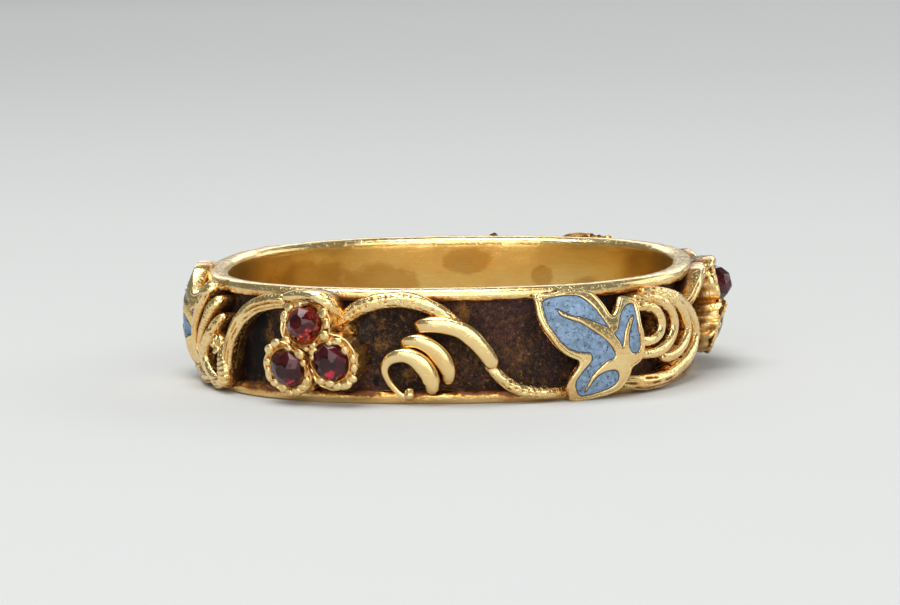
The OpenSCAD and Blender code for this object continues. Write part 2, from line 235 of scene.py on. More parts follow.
class Graph:
    """Adds and links the nodes of one shader tree."""

    def __init__(self, tree: bpy.types.NodeTree) -> None:
        """Starts on a tree."""
        self.tree = tree

    def add(self, kind: str, inputs: dict[Any, Any] | None = None,
            **settings: Any) -> bpy.types.Node:
        """Adds a node.

        Args:
            kind: The node's type, without its first word.
            inputs: A value or a socket for each named or numbered input.
            settings: The node's own settings.

        Returns:
            The new node.
        """
        made = self.tree.nodes.new("ShaderNode" + kind)
        for key, value in settings.items():
            setattr(made, key, value)
        for key, value in (inputs or {}).items():
            if isinstance(value, bpy.types.NodeSocket):
                self.tree.links.new(value, made.inputs[key])
            else:
                made.inputs[key].default_value = value
        return made

    def math(self, operation: str, a: Any, b: Any = 0.0,
             clamp: bool = False) -> bpy.types.NodeSocket:
        """Returns the result of a sum on two values or sockets."""
        return self.add("Math", {0: a, 1: b}, operation=operation, use_clamp=clamp).outputs[0]

    def attribute(self, name: str) -> bpy.types.NodeSocket:
        """Returns the value of one of the mesh's own attributes."""
        return self.add("Attribute", attribute_name=name).outputs["Fac"]

    def swing(self, value: Any, size: float) -> bpy.types.NodeSocket:
        """Returns a noise that lies between 0 and 1 as a swing about 0."""
        return self.math("MULTIPLY", self.math("SUBTRACT", value, 0.5), size)

    def step(self, value: Any, low: float, high: float, start: float = 0.0,
             end: float = 1.0) -> bpy.types.NodeSocket:
        """Returns a smooth change from start to end as value goes from low to high."""
        return self.add("MapRange", {"Value": value, "From Min": low, "From Max": high,
                                     "To Min": start, "To Max": end},
                        interpolation_type="SMOOTHSTEP").outputs[0]

    def mix(self, share: Any, a: Any, b: Any) -> bpy.types.NodeSocket:
        """Returns a mix of two colours, each of them a socket or a shade."""
        a, b = ((*colour, 1) if isinstance(colour, tuple) else colour for colour in (a, b))
        return self.add("Mix", {0: share, 6: a, 7: b}, data_type="RGBA").outputs[2]

    def place(self) -> bpy.types.NodeSocket:
        """Returns the place on the ring, in millimetres."""
        here = self.add("TexCoord").outputs["Object"]
        return self.add("VectorMath", {0: here, 1: (1 / MM,) * 3}, operation="MULTIPLY").outputs[0]

    def unrolled(self, place: bpy.types.NodeSocket) -> bpy.types.NodeSocket:
        """Returns a place as its length along the ring, its height and its radius."""
        x, y, z = self.add("SeparateXYZ", {0: place}).outputs
        angle = self.math("ARCTAN2", x, self.math("MULTIPLY", y, -1.0))
        squares = self.math("ADD", self.math("MULTIPLY", x, x), self.math("MULTIPLY", y, y))
        length = self.math("MULTIPLY", angle, 10.0)
        return self.add("CombineXYZ", {0: length, 1: z, 2: self.math("SQRT", squares)}).outputs[0]

    def noise(self, vector: Any, scale: float, detail: float = 3.0, rough: float = 0.55,
              stretch: Sequence[float] | None = None, turn: float = 0.0) -> bpy.types.NodeSocket:
        """Gives a noise that lies between 0 and 1.

        Args:
            vector: Where it is read, in millimetres.
            scale: Its swells to a millimetre.
            detail: How many finer layers it has.
            rough: How strong those are.
            stretch: Factors on X, Y and Z, for streaks.
            turn: How far the streaks are turned round Z, in radians.

        Returns:
            The noise's value.
        """
        if stretch:
            vector = self.add("Mapping", {"Vector": vector, "Rotation": (0, 0, turn),
                                          "Scale": stretch}).outputs[0]
        return self.add("TexNoise", {"Vector": vector, "Scale": scale, "Detail": detail,
                                     "Roughness": rough}).outputs[0]


def new_material(name: str) -> tuple[bpy.types.Material, Graph, bpy.types.Node]:
    """Starts a material, and returns it with its graph and its shader."""
    made = bpy.data.materials.new(name)
    made.use_nodes = True
    return made, Graph(made.node_tree), made.node_tree.nodes["Principled BSDF"]


def shader_group(name: str, sockets: Sequence[tuple[str, str, str, Any]]) -> tuple[
        bpy.types.NodeTree, Graph, bpy.types.Node, bpy.types.Node]:
    """Starts a node group.

    Args:
        name: The group's name.
        sockets: Name, INPUT or OUTPUT, kind and starting value of each socket.

    Returns:
        The group, its graph, and its input and output nodes.
    """
    tree = bpy.data.node_groups.new(name, "ShaderNodeTree")
    for title, side, kind, value in sockets:
        socket = tree.interface.new_socket(name=title, in_out=side, socket_type="NodeSocket" + kind)
        if value is not None:
            socket.default_value = value
    return tree, Graph(tree), tree.nodes.new("NodeGroupInput"), tree.nodes.new("NodeGroupOutput")


def patina_and_shade_group() -> bpy.types.NodeTree:
    """Builds the effect that leaves orange and brown residue in the recesses of the gold, and
    paints shade on the undersides and flanks that the recess attribute marks.
    """
    tree, g, inputs, outputs = shader_group("patina_and_shade", [
        ("Metal", "INPUT", "Color", (0.8, 0.6, 0.3, 1)),
        ("Deep", "INPUT", "Color", (0.8, 0.5, 0.2, 1)),
        ("Residue", "INPUT", "Color", (0.2, 0.1, 0.03, 1)),
        ("Amount", "INPUT", "Float", 0.5),
        ("Color", "OUTPUT", "Color", None),
        ("Mask", "OUTPUT", "Float", None),
    ])
    place = g.place()
    low = g.attribute(RECESS_AND_SHADE)
    patches = g.noise(place, 1.1, 4)
    specks = g.noise(place, 7.0, 3)
    spread = g.math("ADD", g.swing(patches, 0.9), g.swing(specks, 0.8))
    amount = g.math("SUBTRACT", inputs.outputs["Amount"], 0.5)
    level = g.math("ADD", g.math("ADD", low, spread), amount)
    warm = g.step(level, 0.12, 0.6)
    dirt_and_shade = g.step(level, 0.45, 0.9)
    tone = g.mix(g.step(g.noise(place, 0.6, 2), 0.4, 0.7, 0.0, 0.35), inputs.outputs["Metal"],
                 inputs.outputs["Deep"])
    colour = g.mix(dirt_and_shade, g.mix(warm, tone, inputs.outputs["Deep"]), inputs.outputs["Residue"])
    tree.links.new(colour, outputs.inputs["Color"])
    tree.links.new(dirt_and_shade, outputs.inputs["Mask"])
    return tree


def surface_group() -> bpy.types.NodeTree:
    """Builds the effect of pits, soft swells and fine scratches in the metal's skin."""
    tree, g, inputs, outputs = shader_group("worn_skin", [
        ("Swell", "INPUT", "Float", 0.5),
        ("Pits", "INPUT", "Float", 0.5),
        ("Scratches", "INPUT", "Float", 0.5),
        ("Height", "OUTPUT", "Float", None),
        ("Dull", "OUTPUT", "Float", None),
    ])
    place = g.place()
    flat = g.unrolled(place)
    swell = g.math("MULTIPLY", g.noise(place, 1.4, 1), inputs.outputs["Swell"])
    pits = g.step(g.noise(place, 8.0, 2, 0.5), 0.34, 0.44)
    marks = g.step(g.noise(flat, 1.0, 1, 0.5, (0.3, 15, 15)), 0.6, 0.72)
    for turn in (0.5, -0.9, 1.3):
        mark = g.step(g.noise(flat, 1.0, 1, 0.5, (0.5, 17, 17), turn), 0.68, 0.76)
        marks = g.math("MAXIMUM", marks, mark)
    scratches = g.math("MULTIPLY", marks, inputs.outputs["Scratches"])
    height = g.math("ADD", swell, g.math("MULTIPLY", pits, inputs.outputs["Pits"]))
    height = g.math("SUBTRACT", height, g.math("MULTIPLY", scratches, 0.12))
    dull = g.math("ADD", g.math("MULTIPLY", g.math("SUBTRACT", 1.0, pits), inputs.outputs["Pits"]),
                  g.math("MULTIPLY", scratches, 0.6), clamp=True)
    tree.links.new(height, outputs.inputs["Height"])
    tree.links.new(dull, outputs.inputs["Dull"])
    return tree


@dataclass(frozen=True)
class GoldFinish:
    """Worn yellow gold with residue in its recesses and painted shade on its undersides.

    The amount says how much residue and painted shade it holds, swell, pits and scratches how
    uneven its skin is, and relief how high that skin stands, in millimetres.
    """

    name: str
    amount: float
    swell: float
    pits: float
    scratches: float
    rough: float
    metal: Shade = (0.96, 0.72, 0.34)
    deep: Shade = (0.78, 0.4, 0.1)
    residue: Shade = (0.07, 0.025, 0.008)
    relief: float = 0.03

    def skin(self, groups: dict[str, bpy.types.NodeTree], g: Graph) -> tuple[Any, Any, Any, Any]:
        """Adds the finish's effects to a tree.

        Args:
            groups: The shared effects.
            g: The material's graph.

        Returns:
            The sockets of colour, mask of residue and painted shade, height and dullness.
        """
        patina_and_shade = g.add("Group", node_tree=groups["patina_and_shade"])
        for key, value in (("Metal", self.metal), ("Deep", self.deep), ("Residue", self.residue)):
            patina_and_shade.inputs[key].default_value = (*value, 1)
        patina_and_shade.inputs["Amount"].default_value = self.amount
        wear = {"Swell": self.swell, "Pits": self.pits, "Scratches": self.scratches}
        skin = g.add("Group", wear, node_tree=groups["worn_skin"])
        return (patina_and_shade.outputs["Color"], patina_and_shade.outputs["Mask"],
                skin.outputs["Height"], skin.outputs["Dull"])

    def build(self, groups: dict[str, bpy.types.NodeTree]) -> bpy.types.Material:
        """Builds the material and returns it."""
        made, g, shader = new_material(self.name)
        colour, mask, height, dull = self.skin(groups, g)
        rough = g.math("ADD", g.math("MULTIPLY", dull, 0.14), self.rough)
        rough = g.math("ADD", rough, g.math("MULTIPLY", mask, 0.25), clamp=True)
        bump = g.add("Bump", {"Height": height, "Distance": self.relief * MM, "Strength": 1.0})
        g.tree.links.new(colour, shader.inputs["Base Color"])
        g.tree.links.new(g.step(mask, 0, 1, 1.0, 0.5), shader.inputs["Metallic"])
        g.tree.links.new(rough, shader.inputs["Roughness"])
        g.tree.links.new(bump.outputs[0], shader.inputs["Normal"])
        return made


class Tint(Enum):
    """A kind of patch in the channel and the bore: stains, painted shadow, and painted reflection
    on the bore.
    """

    SOOT = "soot"
    OCHRE_AND_REFLECTION = "ochre"
    MAUVE = "mauve"
    GREY = "grey"


@dataclass(frozen=True)
class HoopFinish:
    """The hoop's three looks: worn rims, a polished bore with painted reflection and a darkened
    granular channel with painted shadow.
    """

    rims: GoldFinish
    ground_dark: Shade = (0.026, 0.011, 0.006)
    ground_brown: Shade = (0.1, 0.038, 0.013)
    ground_grain: Shade = (0.3, 0.17, 0.09)
    ochre: Shade = (0.34, 0.15, 0.03)
    mauve: Shade = (0.1, 0.034, 0.034)
    soot: Shade = (0.003, 0.002, 0.002)
    grey: Shade = (0.075, 0.066, 0.064)
    bore_tint: Shade = (0.86, 0.62, 0.215)
    bore_reflection: Shade = (0.6, 0.35, 0.075)

    def ground(self, g: Graph, place: bpy.types.NodeSocket,
               grains: bpy.types.NodeSocket) -> bpy.types.NodeSocket:
        """Adds the colour of the channel's ground to a tree.

        Args:
            g: The material's graph.
            place: The place on the ring, in millimetres.
            grains: The ground's grains, between 0 and 1.

        Returns:
            The socket of the colour.
        """
        patches = g.noise(place, 0.5, 4, 0.6)
        colour = g.mix(g.step(patches, 0.42, 0.62), self.ground_dark, self.ground_brown)
        ragged = g.swing(g.noise(place, 2.2, 5, 0.72), 2.6)
        wide = {Tint.MAUVE: g.step(g.noise(place, 0.31, 2), 0.56, 0.66, 0, 0.5),
                Tint.OCHRE_AND_REFLECTION: g.step(g.noise(place, 1.3, 6, 0.7), 0.55, 0.72, 0, 0.6),
                Tint.GREY: g.step(g.noise(place, 0.74, 5, 0.7), 0.6, 0.72, 0, 0.3)}
        shades = {Tint.MAUVE: self.mauve, Tint.GREY: self.grey, Tint.OCHRE_AND_REFLECTION: self.ochre}
        for tint, shade in shades.items():
            placed = g.attribute(tint.value)
            stained = g.step(g.math("ADD", placed, ragged), 0.45, 1.3, 0, 0.8)
            colour = g.mix(g.math("MAXIMUM", stained, wide[tint]), colour, shade)
        crumbs = g.noise(place, 5.5, 5, 0.72)
        colour = g.mix(g.step(crumbs, 0.56, 0.66, 0, 0.75), colour, self.ochre)
        colour = g.mix(g.step(crumbs, 0.36, 0.48, 0.85, 0), colour, self.soot)
        colour = g.mix(g.step(grains, 0.55, 0.74, 0, 0.6), colour, self.ground_grain)
        colour = g.mix(g.step(grains, 0.32, 0.5, 0.85, 0), colour, self.soot)
        # Painted shadow: near-black where the dark patches lie, with a ragged edge.
        soot = g.step(g.math("ADD", g.attribute(Tint.SOOT.value), ragged), 0.35, 0.9, 0, 0.97)
        return g.mix(soot, colour, self.soot)

    def build(self, groups: dict[str, bpy.types.NodeTree]) -> bpy.types.Material:
        """Builds the material and returns it."""
        made, g, shader = new_material(self.rims.name)
        colour, mask, height, dull = self.rims.skin(groups, g)
        place = g.place()
        border = g.swing(g.noise(place, 3.5, 3), 0.5)
        channel = g.step(g.math("ADD", g.attribute(CHANNEL), border), 0.35, 0.65)
        bore = g.attribute(BORE)
        grains = g.noise(place, 17.0, 3, 0.65)
        ragged = g.swing(g.noise(place, 0.9, 5, 0.65), 1.6)
        # Painted reflection on the bore: the ochre patches read from the attribute.
        stained = g.math("ADD", g.attribute(Tint.OCHRE_AND_REFLECTION.value), ragged)
        bore_gold = g.mix(g.step(stained, 0.3, 0.75, 0, 0.85), self.bore_tint, self.bore_reflection)
        gold = g.mix(g.math("MULTIPLY", bore, 0.85), colour, bore_gold)
        dull = g.math("MULTIPLY", dull, g.step(bore, 0, 1, 1.0, 0.35))
        height = g.math("MULTIPLY", height, g.step(bore, 0, 1, 1.0, 0.1))
        rough = g.math("ADD", g.math("MULTIPLY", dull, 0.15), self.rims.rough)
        rough = g.math("ADD", rough, g.math("MULTIPLY", mask, 0.2))
        rough = g.math("ADD", rough, g.math("MULTIPLY", channel, 0.32), clamp=True)
        relief = g.math("ADD", height, g.math("MULTIPLY", channel, g.math("MULTIPLY", grains, 1.3)))
        bump = g.add("Bump", {"Height": relief, "Distance": self.rims.relief * MM, "Strength": 1.0})
        colour = g.mix(channel, gold, self.ground(g, place, grains))
        metallic = g.step(g.math("MAXIMUM", mask, channel), 0, 1, 1.0, 0.5)
        g.tree.links.new(colour, shader.inputs["Base Color"])
        g.tree.links.new(metallic, shader.inputs["Metallic"])
        g.tree.links.new(rough, shader.inputs["Roughness"])
        g.tree.links.new(bump.outputs[0], shader.inputs["Normal"])
        return made


@dataclass(frozen=True)
class EnamelFinish:
    """Old opaque enamel, ground flush, with dark specks, cracks and a chalky bloom."""

    name: str = "blue_enamel"
    blue: Shade = (0.25, 0.365, 0.525)
    pale: Shade = (0.31, 0.435, 0.585)
    grey: Shade = (0.16, 0.235, 0.33)
    dirt: Shade = (0.022, 0.022, 0.028)

    def build(self, groups: dict[str, bpy.types.NodeTree]) -> bpy.types.Material:
        """Builds the material and returns it."""
        made, g, shader = new_material(self.name)
        place = g.place()
        cloud = g.noise(place, 2.4, 4, 0.6)
        mottle = g.noise(place, 5, 3)
        colour = g.mix(g.step(cloud, 0.35, 0.65), self.grey, self.blue)
        colour = g.mix(g.step(mottle, 0.5, 0.72), colour, self.pale)
        cells = g.add("TexVoronoi", {"Vector": place, "Scale": 3.4},
                      feature="DISTANCE_TO_EDGE").outputs[0]
        cracked = g.step(g.noise(place, 1.3, 2), 0.42, 0.56)
        cracks = g.math("MULTIPLY", g.step(cells, 0.0, 0.045, 1.0, 0.0), cracked)
        specks = g.step(g.noise(place, 6.5, 4, 0.66), 0.35, 0.41, 1.0, 0.0)
        edge = g.step(g.math("ADD", g.attribute(RECESS_AND_SHADE), g.swing(mottle, 1.5)), 0.4, 0.72)
        stain = g.math("MAXIMUM", g.math("MULTIPLY", cracks, 0.7), specks)
        stain = g.math("MAXIMUM", stain, edge, clamp=True)
        skin = g.add("Group", {"Swell": 0.4, "Pits": 0.5, "Scratches": 0.5},
                     node_tree=groups["worn_skin"])
        height = g.math("SUBTRACT", skin.outputs["Height"], g.math("MULTIPLY", stain, 0.6))
        bump = g.add("Bump", {"Height": height, "Distance": 0.02 * MM, "Strength": 1.0})
        shader.inputs["Specular IOR Level"].default_value = 0.3
        colour = g.mix(g.math("MULTIPLY", stain, 0.85), colour, self.dirt)
        dull = g.math("MULTIPLY", skin.outputs["Dull"], 0.25)
        g.tree.links.new(colour, shader.inputs["Base Color"])
        g.tree.links.new(g.math("ADD", dull, 0.3, clamp=True), shader.inputs["Roughness"])
        g.tree.links.new(bump.outputs[0], shader.inputs["Normal"])
        return made


@dataclass(frozen=True)
class GarnetFinish:
    """Dark red garnet with softly worn facets."""

    name: str = "garnet"
    red: Shade = (0.1, 0.003, 0.006)

    def build(self, groups: dict[str, bpy.types.NodeTree]) -> bpy.types.Material:
        """Builds the material and returns it."""
        made, g, shader = new_material(self.name)
        skin = g.add("Group", {"Swell": 0.1, "Pits": 0.1, "Scratches": 0.6},
                     node_tree=groups["worn_skin"])
        bump = g.add("Bump", {"Height": skin.outputs["Height"], "Distance": 0.006 * MM,
                              "Strength": 1.0})
        shader.inputs["Base Color"].default_value = (*self.red, 1)
        shader.inputs["Transmission Weight"].default_value = 1.0
        shader.inputs["IOR"].default_value = 1.74
        shader.inputs["Specular Tint"].default_value = (0.66, 0.5, 0.53, 1)
        dull = g.math("MULTIPLY", skin.outputs["Dull"], 0.06)
        g.tree.links.new(g.math("ADD", dull, 0.02), shader.inputs["Roughness"])
        g.tree.links.new(bump.outputs[0], shader.inputs["Normal"])
        return made


class Finishes:
    """All the finishes of the ring, built once."""

    def __init__(self) -> None:
        """Builds the shared effects, and then each finish."""
        groups = {"patina_and_shade": patina_and_shade_group(), "worn_skin": surface_group()}
        self.relief = GoldFinish("vine_gold", amount=0.4, swell=0.5, pits=0.5, scratches=0.2,
                                 rough=0.2).build(groups)
        self.granulated = GoldFinish("granulated_gold", amount=0.44, swell=0.5, pits=0.5,
                                     scratches=0.4, rough=0.28).build(groups)
        self.leaf = GoldFinish("leaf_gold", amount=0.34, swell=0.55, pits=0.2, scratches=0.6,
                               rough=0.22).build(groups)
        self.polished = GoldFinish("tendril_gold", amount=0.34, swell=0.3, pits=0.1,
                                   scratches=0.2, rough=0.21).build(groups)
        self.hoop = HoopFinish(GoldFinish("hoop_gold", amount=0.42, swell=0.6, pits=0.22,
                                          scratches=0.9, rough=0.2,
                                          residue=(0.17, 0.055, 0.014))).build(groups)
        self.enamel = EnamelFinish().build(groups)
        self.garnet = GarnetFinish().build(groups)
        self.bright_garnet = GarnetFinish("bright_garnet", (0.2, 0.012, 0.006)).build(groups)


@dataclass(frozen=True)
class Patch:
    """A patch in the channel or the bore: its kind, angle, height and half sizes."""

    tint: Tint
    t: float
    z: float
    long: float
    high: float

    def share(self, t: float, z: float) -> float:
        """Returns how strong the patch is at a place, between 0 and 1."""
        away = (t - self.t + 180) % 360 - 180
        reach = math.hypot(RING.along(away) / self.long, (z - self.z) / self.high)
        return 1 - smoothstep(reach, 0.45, 1.35)


# Patches in the channel. The near-black ones are painted shadow under and beside the wires; the
# rest are stains.
STAINS_AND_SHADOWS: list[Patch] = [
    Patch(Tint.SOOT, -51, -0.6, 1.3, 1.25), Patch(Tint.SOOT, -48, 0.75, 0.5, 0.5),
    Patch(Tint.SOOT, -18, -1.38, 0.2, 0.3), Patch(Tint.SOOT, -13, 1.2, 0.4, 0.12),
    Patch(Tint.OCHRE_AND_REFLECTION, -45.6, 0.25, 0.32, 0.85), Patch(Tint.OCHRE_AND_REFLECTION, 2.6, 1.25, 0.35, 0.55),
    Patch(Tint.OCHRE_AND_REFLECTION, -12.8, 1, 0.22, 0.1), Patch(Tint.OCHRE_AND_REFLECTION, -16.6, 0.1, 0.5, 0.45),
    Patch(Tint.OCHRE_AND_REFLECTION, -10, -1.1, 0.5, 0.35), Patch(Tint.MAUVE, 12, 0.8, 1.3, 1.0),
    Patch(Tint.MAUVE, 6, -1.2, 1.2, 0.5), Patch(Tint.GREY, -50, -1.2, 0.2, 0.2),
    Patch(Tint.GREY, -20.5, 0.5, 0.45, 0.5), Patch(Tint.GREY, -18.5, 1.05, 0.3, 0.2),
    Patch(Tint.GREY, -60, 0.9, 0.5, 0.6), Patch(Tint.OCHRE_AND_REFLECTION, -40.5, 0.4, 0.4, 0.55),
    Patch(Tint.SOOT, -15.5, -1.3, 0.3, 0.16),
]
# Painted reflection on the bore: darker ochre patches where the polished gold shows reflections.
BORE_REFLECTIONS: list[Patch] = [
    Patch(Tint.OCHRE_AND_REFLECTION, 222, 0.1, 3.4, 1.5), Patch(Tint.OCHRE_AND_REFLECTION, 201, 0.1, 2.4, 1.2),
    Patch(Tint.OCHRE_AND_REFLECTION, 176, 1.2, 1.3, 0.65), Patch(Tint.OCHRE_AND_REFLECTION, 143, -0.5, 1.6, 1.1),
    Patch(Tint.OCHRE_AND_REFLECTION, 155, 0.6, 0.6, 0.5), Patch(Tint.OCHRE_AND_REFLECTION, 118, 0.2, 0.7, 1.2),
]


@dataclass
class Hoop:
    """The hoop with its two worn rims, the darkened channel and the polished bore."""

    steps: int = 800
    bore_r: float = 9.2
    lip: float = 1.7
    reflection_bore_r: float = 9.4
    bore_wear: Sequence[Ripple] = (Ripple(0.035, 0.4, 3), Ripple(0.008, 1.2, 5))
    floor_wear: Sequence[Ripple] = (Ripple(0.02, 1.3, 8), Ripple(0.014, 5.5, 9))
    rim_wear_out: Sequence[Ripple] = (Ripple(0.016, 0.6, 11), Ripple(0.004, 2.2, 12))
    rim_wear_up: Sequence[Ripple] = (Ripple(0.016, 0.5, 13), Ripple(0.004, 2.2, 14))
    edge_wear: Sequence[Ripple] = (Ripple(1.0, 1.7, 15), Ripple(0.5, 4.5, 16))
    upper_edge_wear: float = 0.05
    lower_edge_wear: float = 0.09
    profile: list[Spot] = field(default_factory=lambda: [
        (9.6, 0.0), (9.6, 0.55), (9.6, 1.1), (9.6, 1.5), (9.61, 1.62), (9.66, 1.69),
        (9.78, 1.71), (9.9, 1.72), (9.97, 1.76), (10.01, 1.84), (10.02, 1.95), (10.0, 2.06),
        (9.95, 2.14), (9.86, 2.19), (9.72, 2.21), (9.56, 2.21), (9.42, 2.19), (9.31, 2.14),
        (9.24, 2.06), (9.21, 1.94), (9.2, 1.75), (9.2, 1.4), (9.2, 1.0), (9.2, 0.5),
    ])

    def outline(self) -> list[Spot]:
        """Returns the closed section, from the channel's middle over the upper rim."""
        lower = [(r, -z) for r, z in reversed(self.profile[1:])]
        return smooth_line([*self.profile, (9.2, 0.0), *lower], 2, closed=True)

    def worn_place(self, t: float, z: float, r: float) -> tuple[float, float, float]:
        """Gives a point's place after years of wear.

        Args:
            t: Its angle.
            z: Its height.
            r: Its radius.

        Returns:
            Its angle, height and radius on the worn hoop.
        """
        a = math.radians(t)
        x, y = r * math.sin(a), -r * math.cos(a)
        if r < self.bore_r + 0.05:
            r += wear(self.bore_wear, x, y, z)
        elif abs(z) < self.lip - 0.08:
            r += wear(self.floor_wear, x, y, z)
        else:
            r += wear(self.rim_wear_out, x, y, z)
            z += wear(self.rim_wear_up, x, y, z)
            edge = 1 - smoothstep(abs(abs(z) - self.lip - 0.04), 0.03, 0.12)
            edge *= self.lower_edge_wear if z < 0 else self.upper_edge_wear
            z += edge * wear(self.edge_wear, x, y, z)
        return t, z, r

    def looks(self, t: float, z: float, r: float) -> dict[str, float]:
        """Gives the hoop's own attributes at a place.

        Args:
            t: Its angle.
            z: Its height.
            r: Its radius.

        Returns:
            The value of each attribute by its name.
        """
        x, y = r * math.sin(math.radians(t)), -r * math.cos(math.radians(t))
        in_channel = 1 - smoothstep(abs(z), self.lip - 0.04, self.lip + 0.03)
        # Darker in the channel's corners by the rims, and on the lower rim's ledge and outer face.
        corner = (1 - smoothstep(abs(z), 1.78, 2.1)) * smoothstep(r, 9.4, 9.6)
        recess_and_shade = corner * ((0.82 if z > 0 else 0.66) + 0.9 * grain(x, y, z, 0.7, 21))
        if z < 0:
            recess_and_shade += smoothstep(r, 9.7, 9.98) * (0.22 + 0.7 * grain(x, y, z, 0.6, 33))
        found = {
            CHANNEL: in_channel * smoothstep(r, 9.35, 9.45),
            BORE: 1 - smoothstep(r + 0.35 * smoothstep(abs(z), 1.75, 2.2), 9.22, 9.5),
            RECESS_AND_SHADE: recess_and_shade,
        }
        if found[CHANNEL] > 0 or found[BORE] > 0:
            for stain in BORE_REFLECTIONS if r < self.reflection_bore_r else STAINS_AND_SHADOWS:
                name = stain.tint.value
                found[name] = max(found.get(name, 0.0), stain.share(t, z))
        return found

    def build(self, finishes: Finishes) -> None:
        """Turns the section into the hoop, wears it and dresses it.

        Args:
            finishes: The ring's finishes.
        """
        bm = bmesh.new()
        layers = {name: bm.verts.layers.float.new(name)
                  for name in (CHANNEL, BORE, RECESS_AND_SHADE, *(tint.value for tint in Tint))}
        verts = [bm.verts.new((0, -r, z)) for r, z in self.outline()]
        edges = [bm.edges.new((verts[i - 1], verts[i])) for i in range(len(verts))]
        bmesh.ops.spin(bm, geom=verts + edges, cent=(0, 0, 0), axis=(0, 0, 1),
                       angle=math.tau, steps=self.steps, use_merge=True)
        bmesh.ops.remove_doubles(bm, verts=bm.verts, dist=1e-4)
        for v in bm.verts:
            t = math.degrees(math.atan2(v.co.x, -v.co.y))
            r, z = math.hypot(v.co.x, v.co.y), v.co.z
            for name, value in self.looks(t, z, r).items():
                v[layers[name]] = value
            v.co = RING.place(*self.worn_place(t, z, r))
        Workshop.piece(bm, "hoop", finishes.hoop, "gold", ["gold_body"])


class Tooling(Enum):
    """How the goldsmith worked a wire's surface."""

    SMOOTH = "smooth"
    ENGRAVED = "engraved"
    FLUTED = "fluted"
    NOTCHED = "notched"
    PITTED = "pitted"


@dataclass(frozen=True)
class Groove:
    """A line cut along a wire.

    It has a depth and a half width, fades out where its noise is below fade, and is
    partly even and partly a row of short cuts.
    """

    deep: float
    half: float
    fade: float
    even: float
    short: float


GROOVES: dict[Tooling, Groove] = {
    Tooling.ENGRAVED: Groove(deep=0.055, half=0.075, fade=-0.2, even=0.6, short=0.4),
    Tooling.FLUTED: Groove(deep=0.065, half=0.09, fade=-0.5, even=0.9, short=0.0),
}
# Where the grooves run round the section, 90 degrees at the crest, and the cuts' length
GROOVE_ANGLES: Sequence[float] = (48, 84, 122)
CUT_LENGTH = 0.27


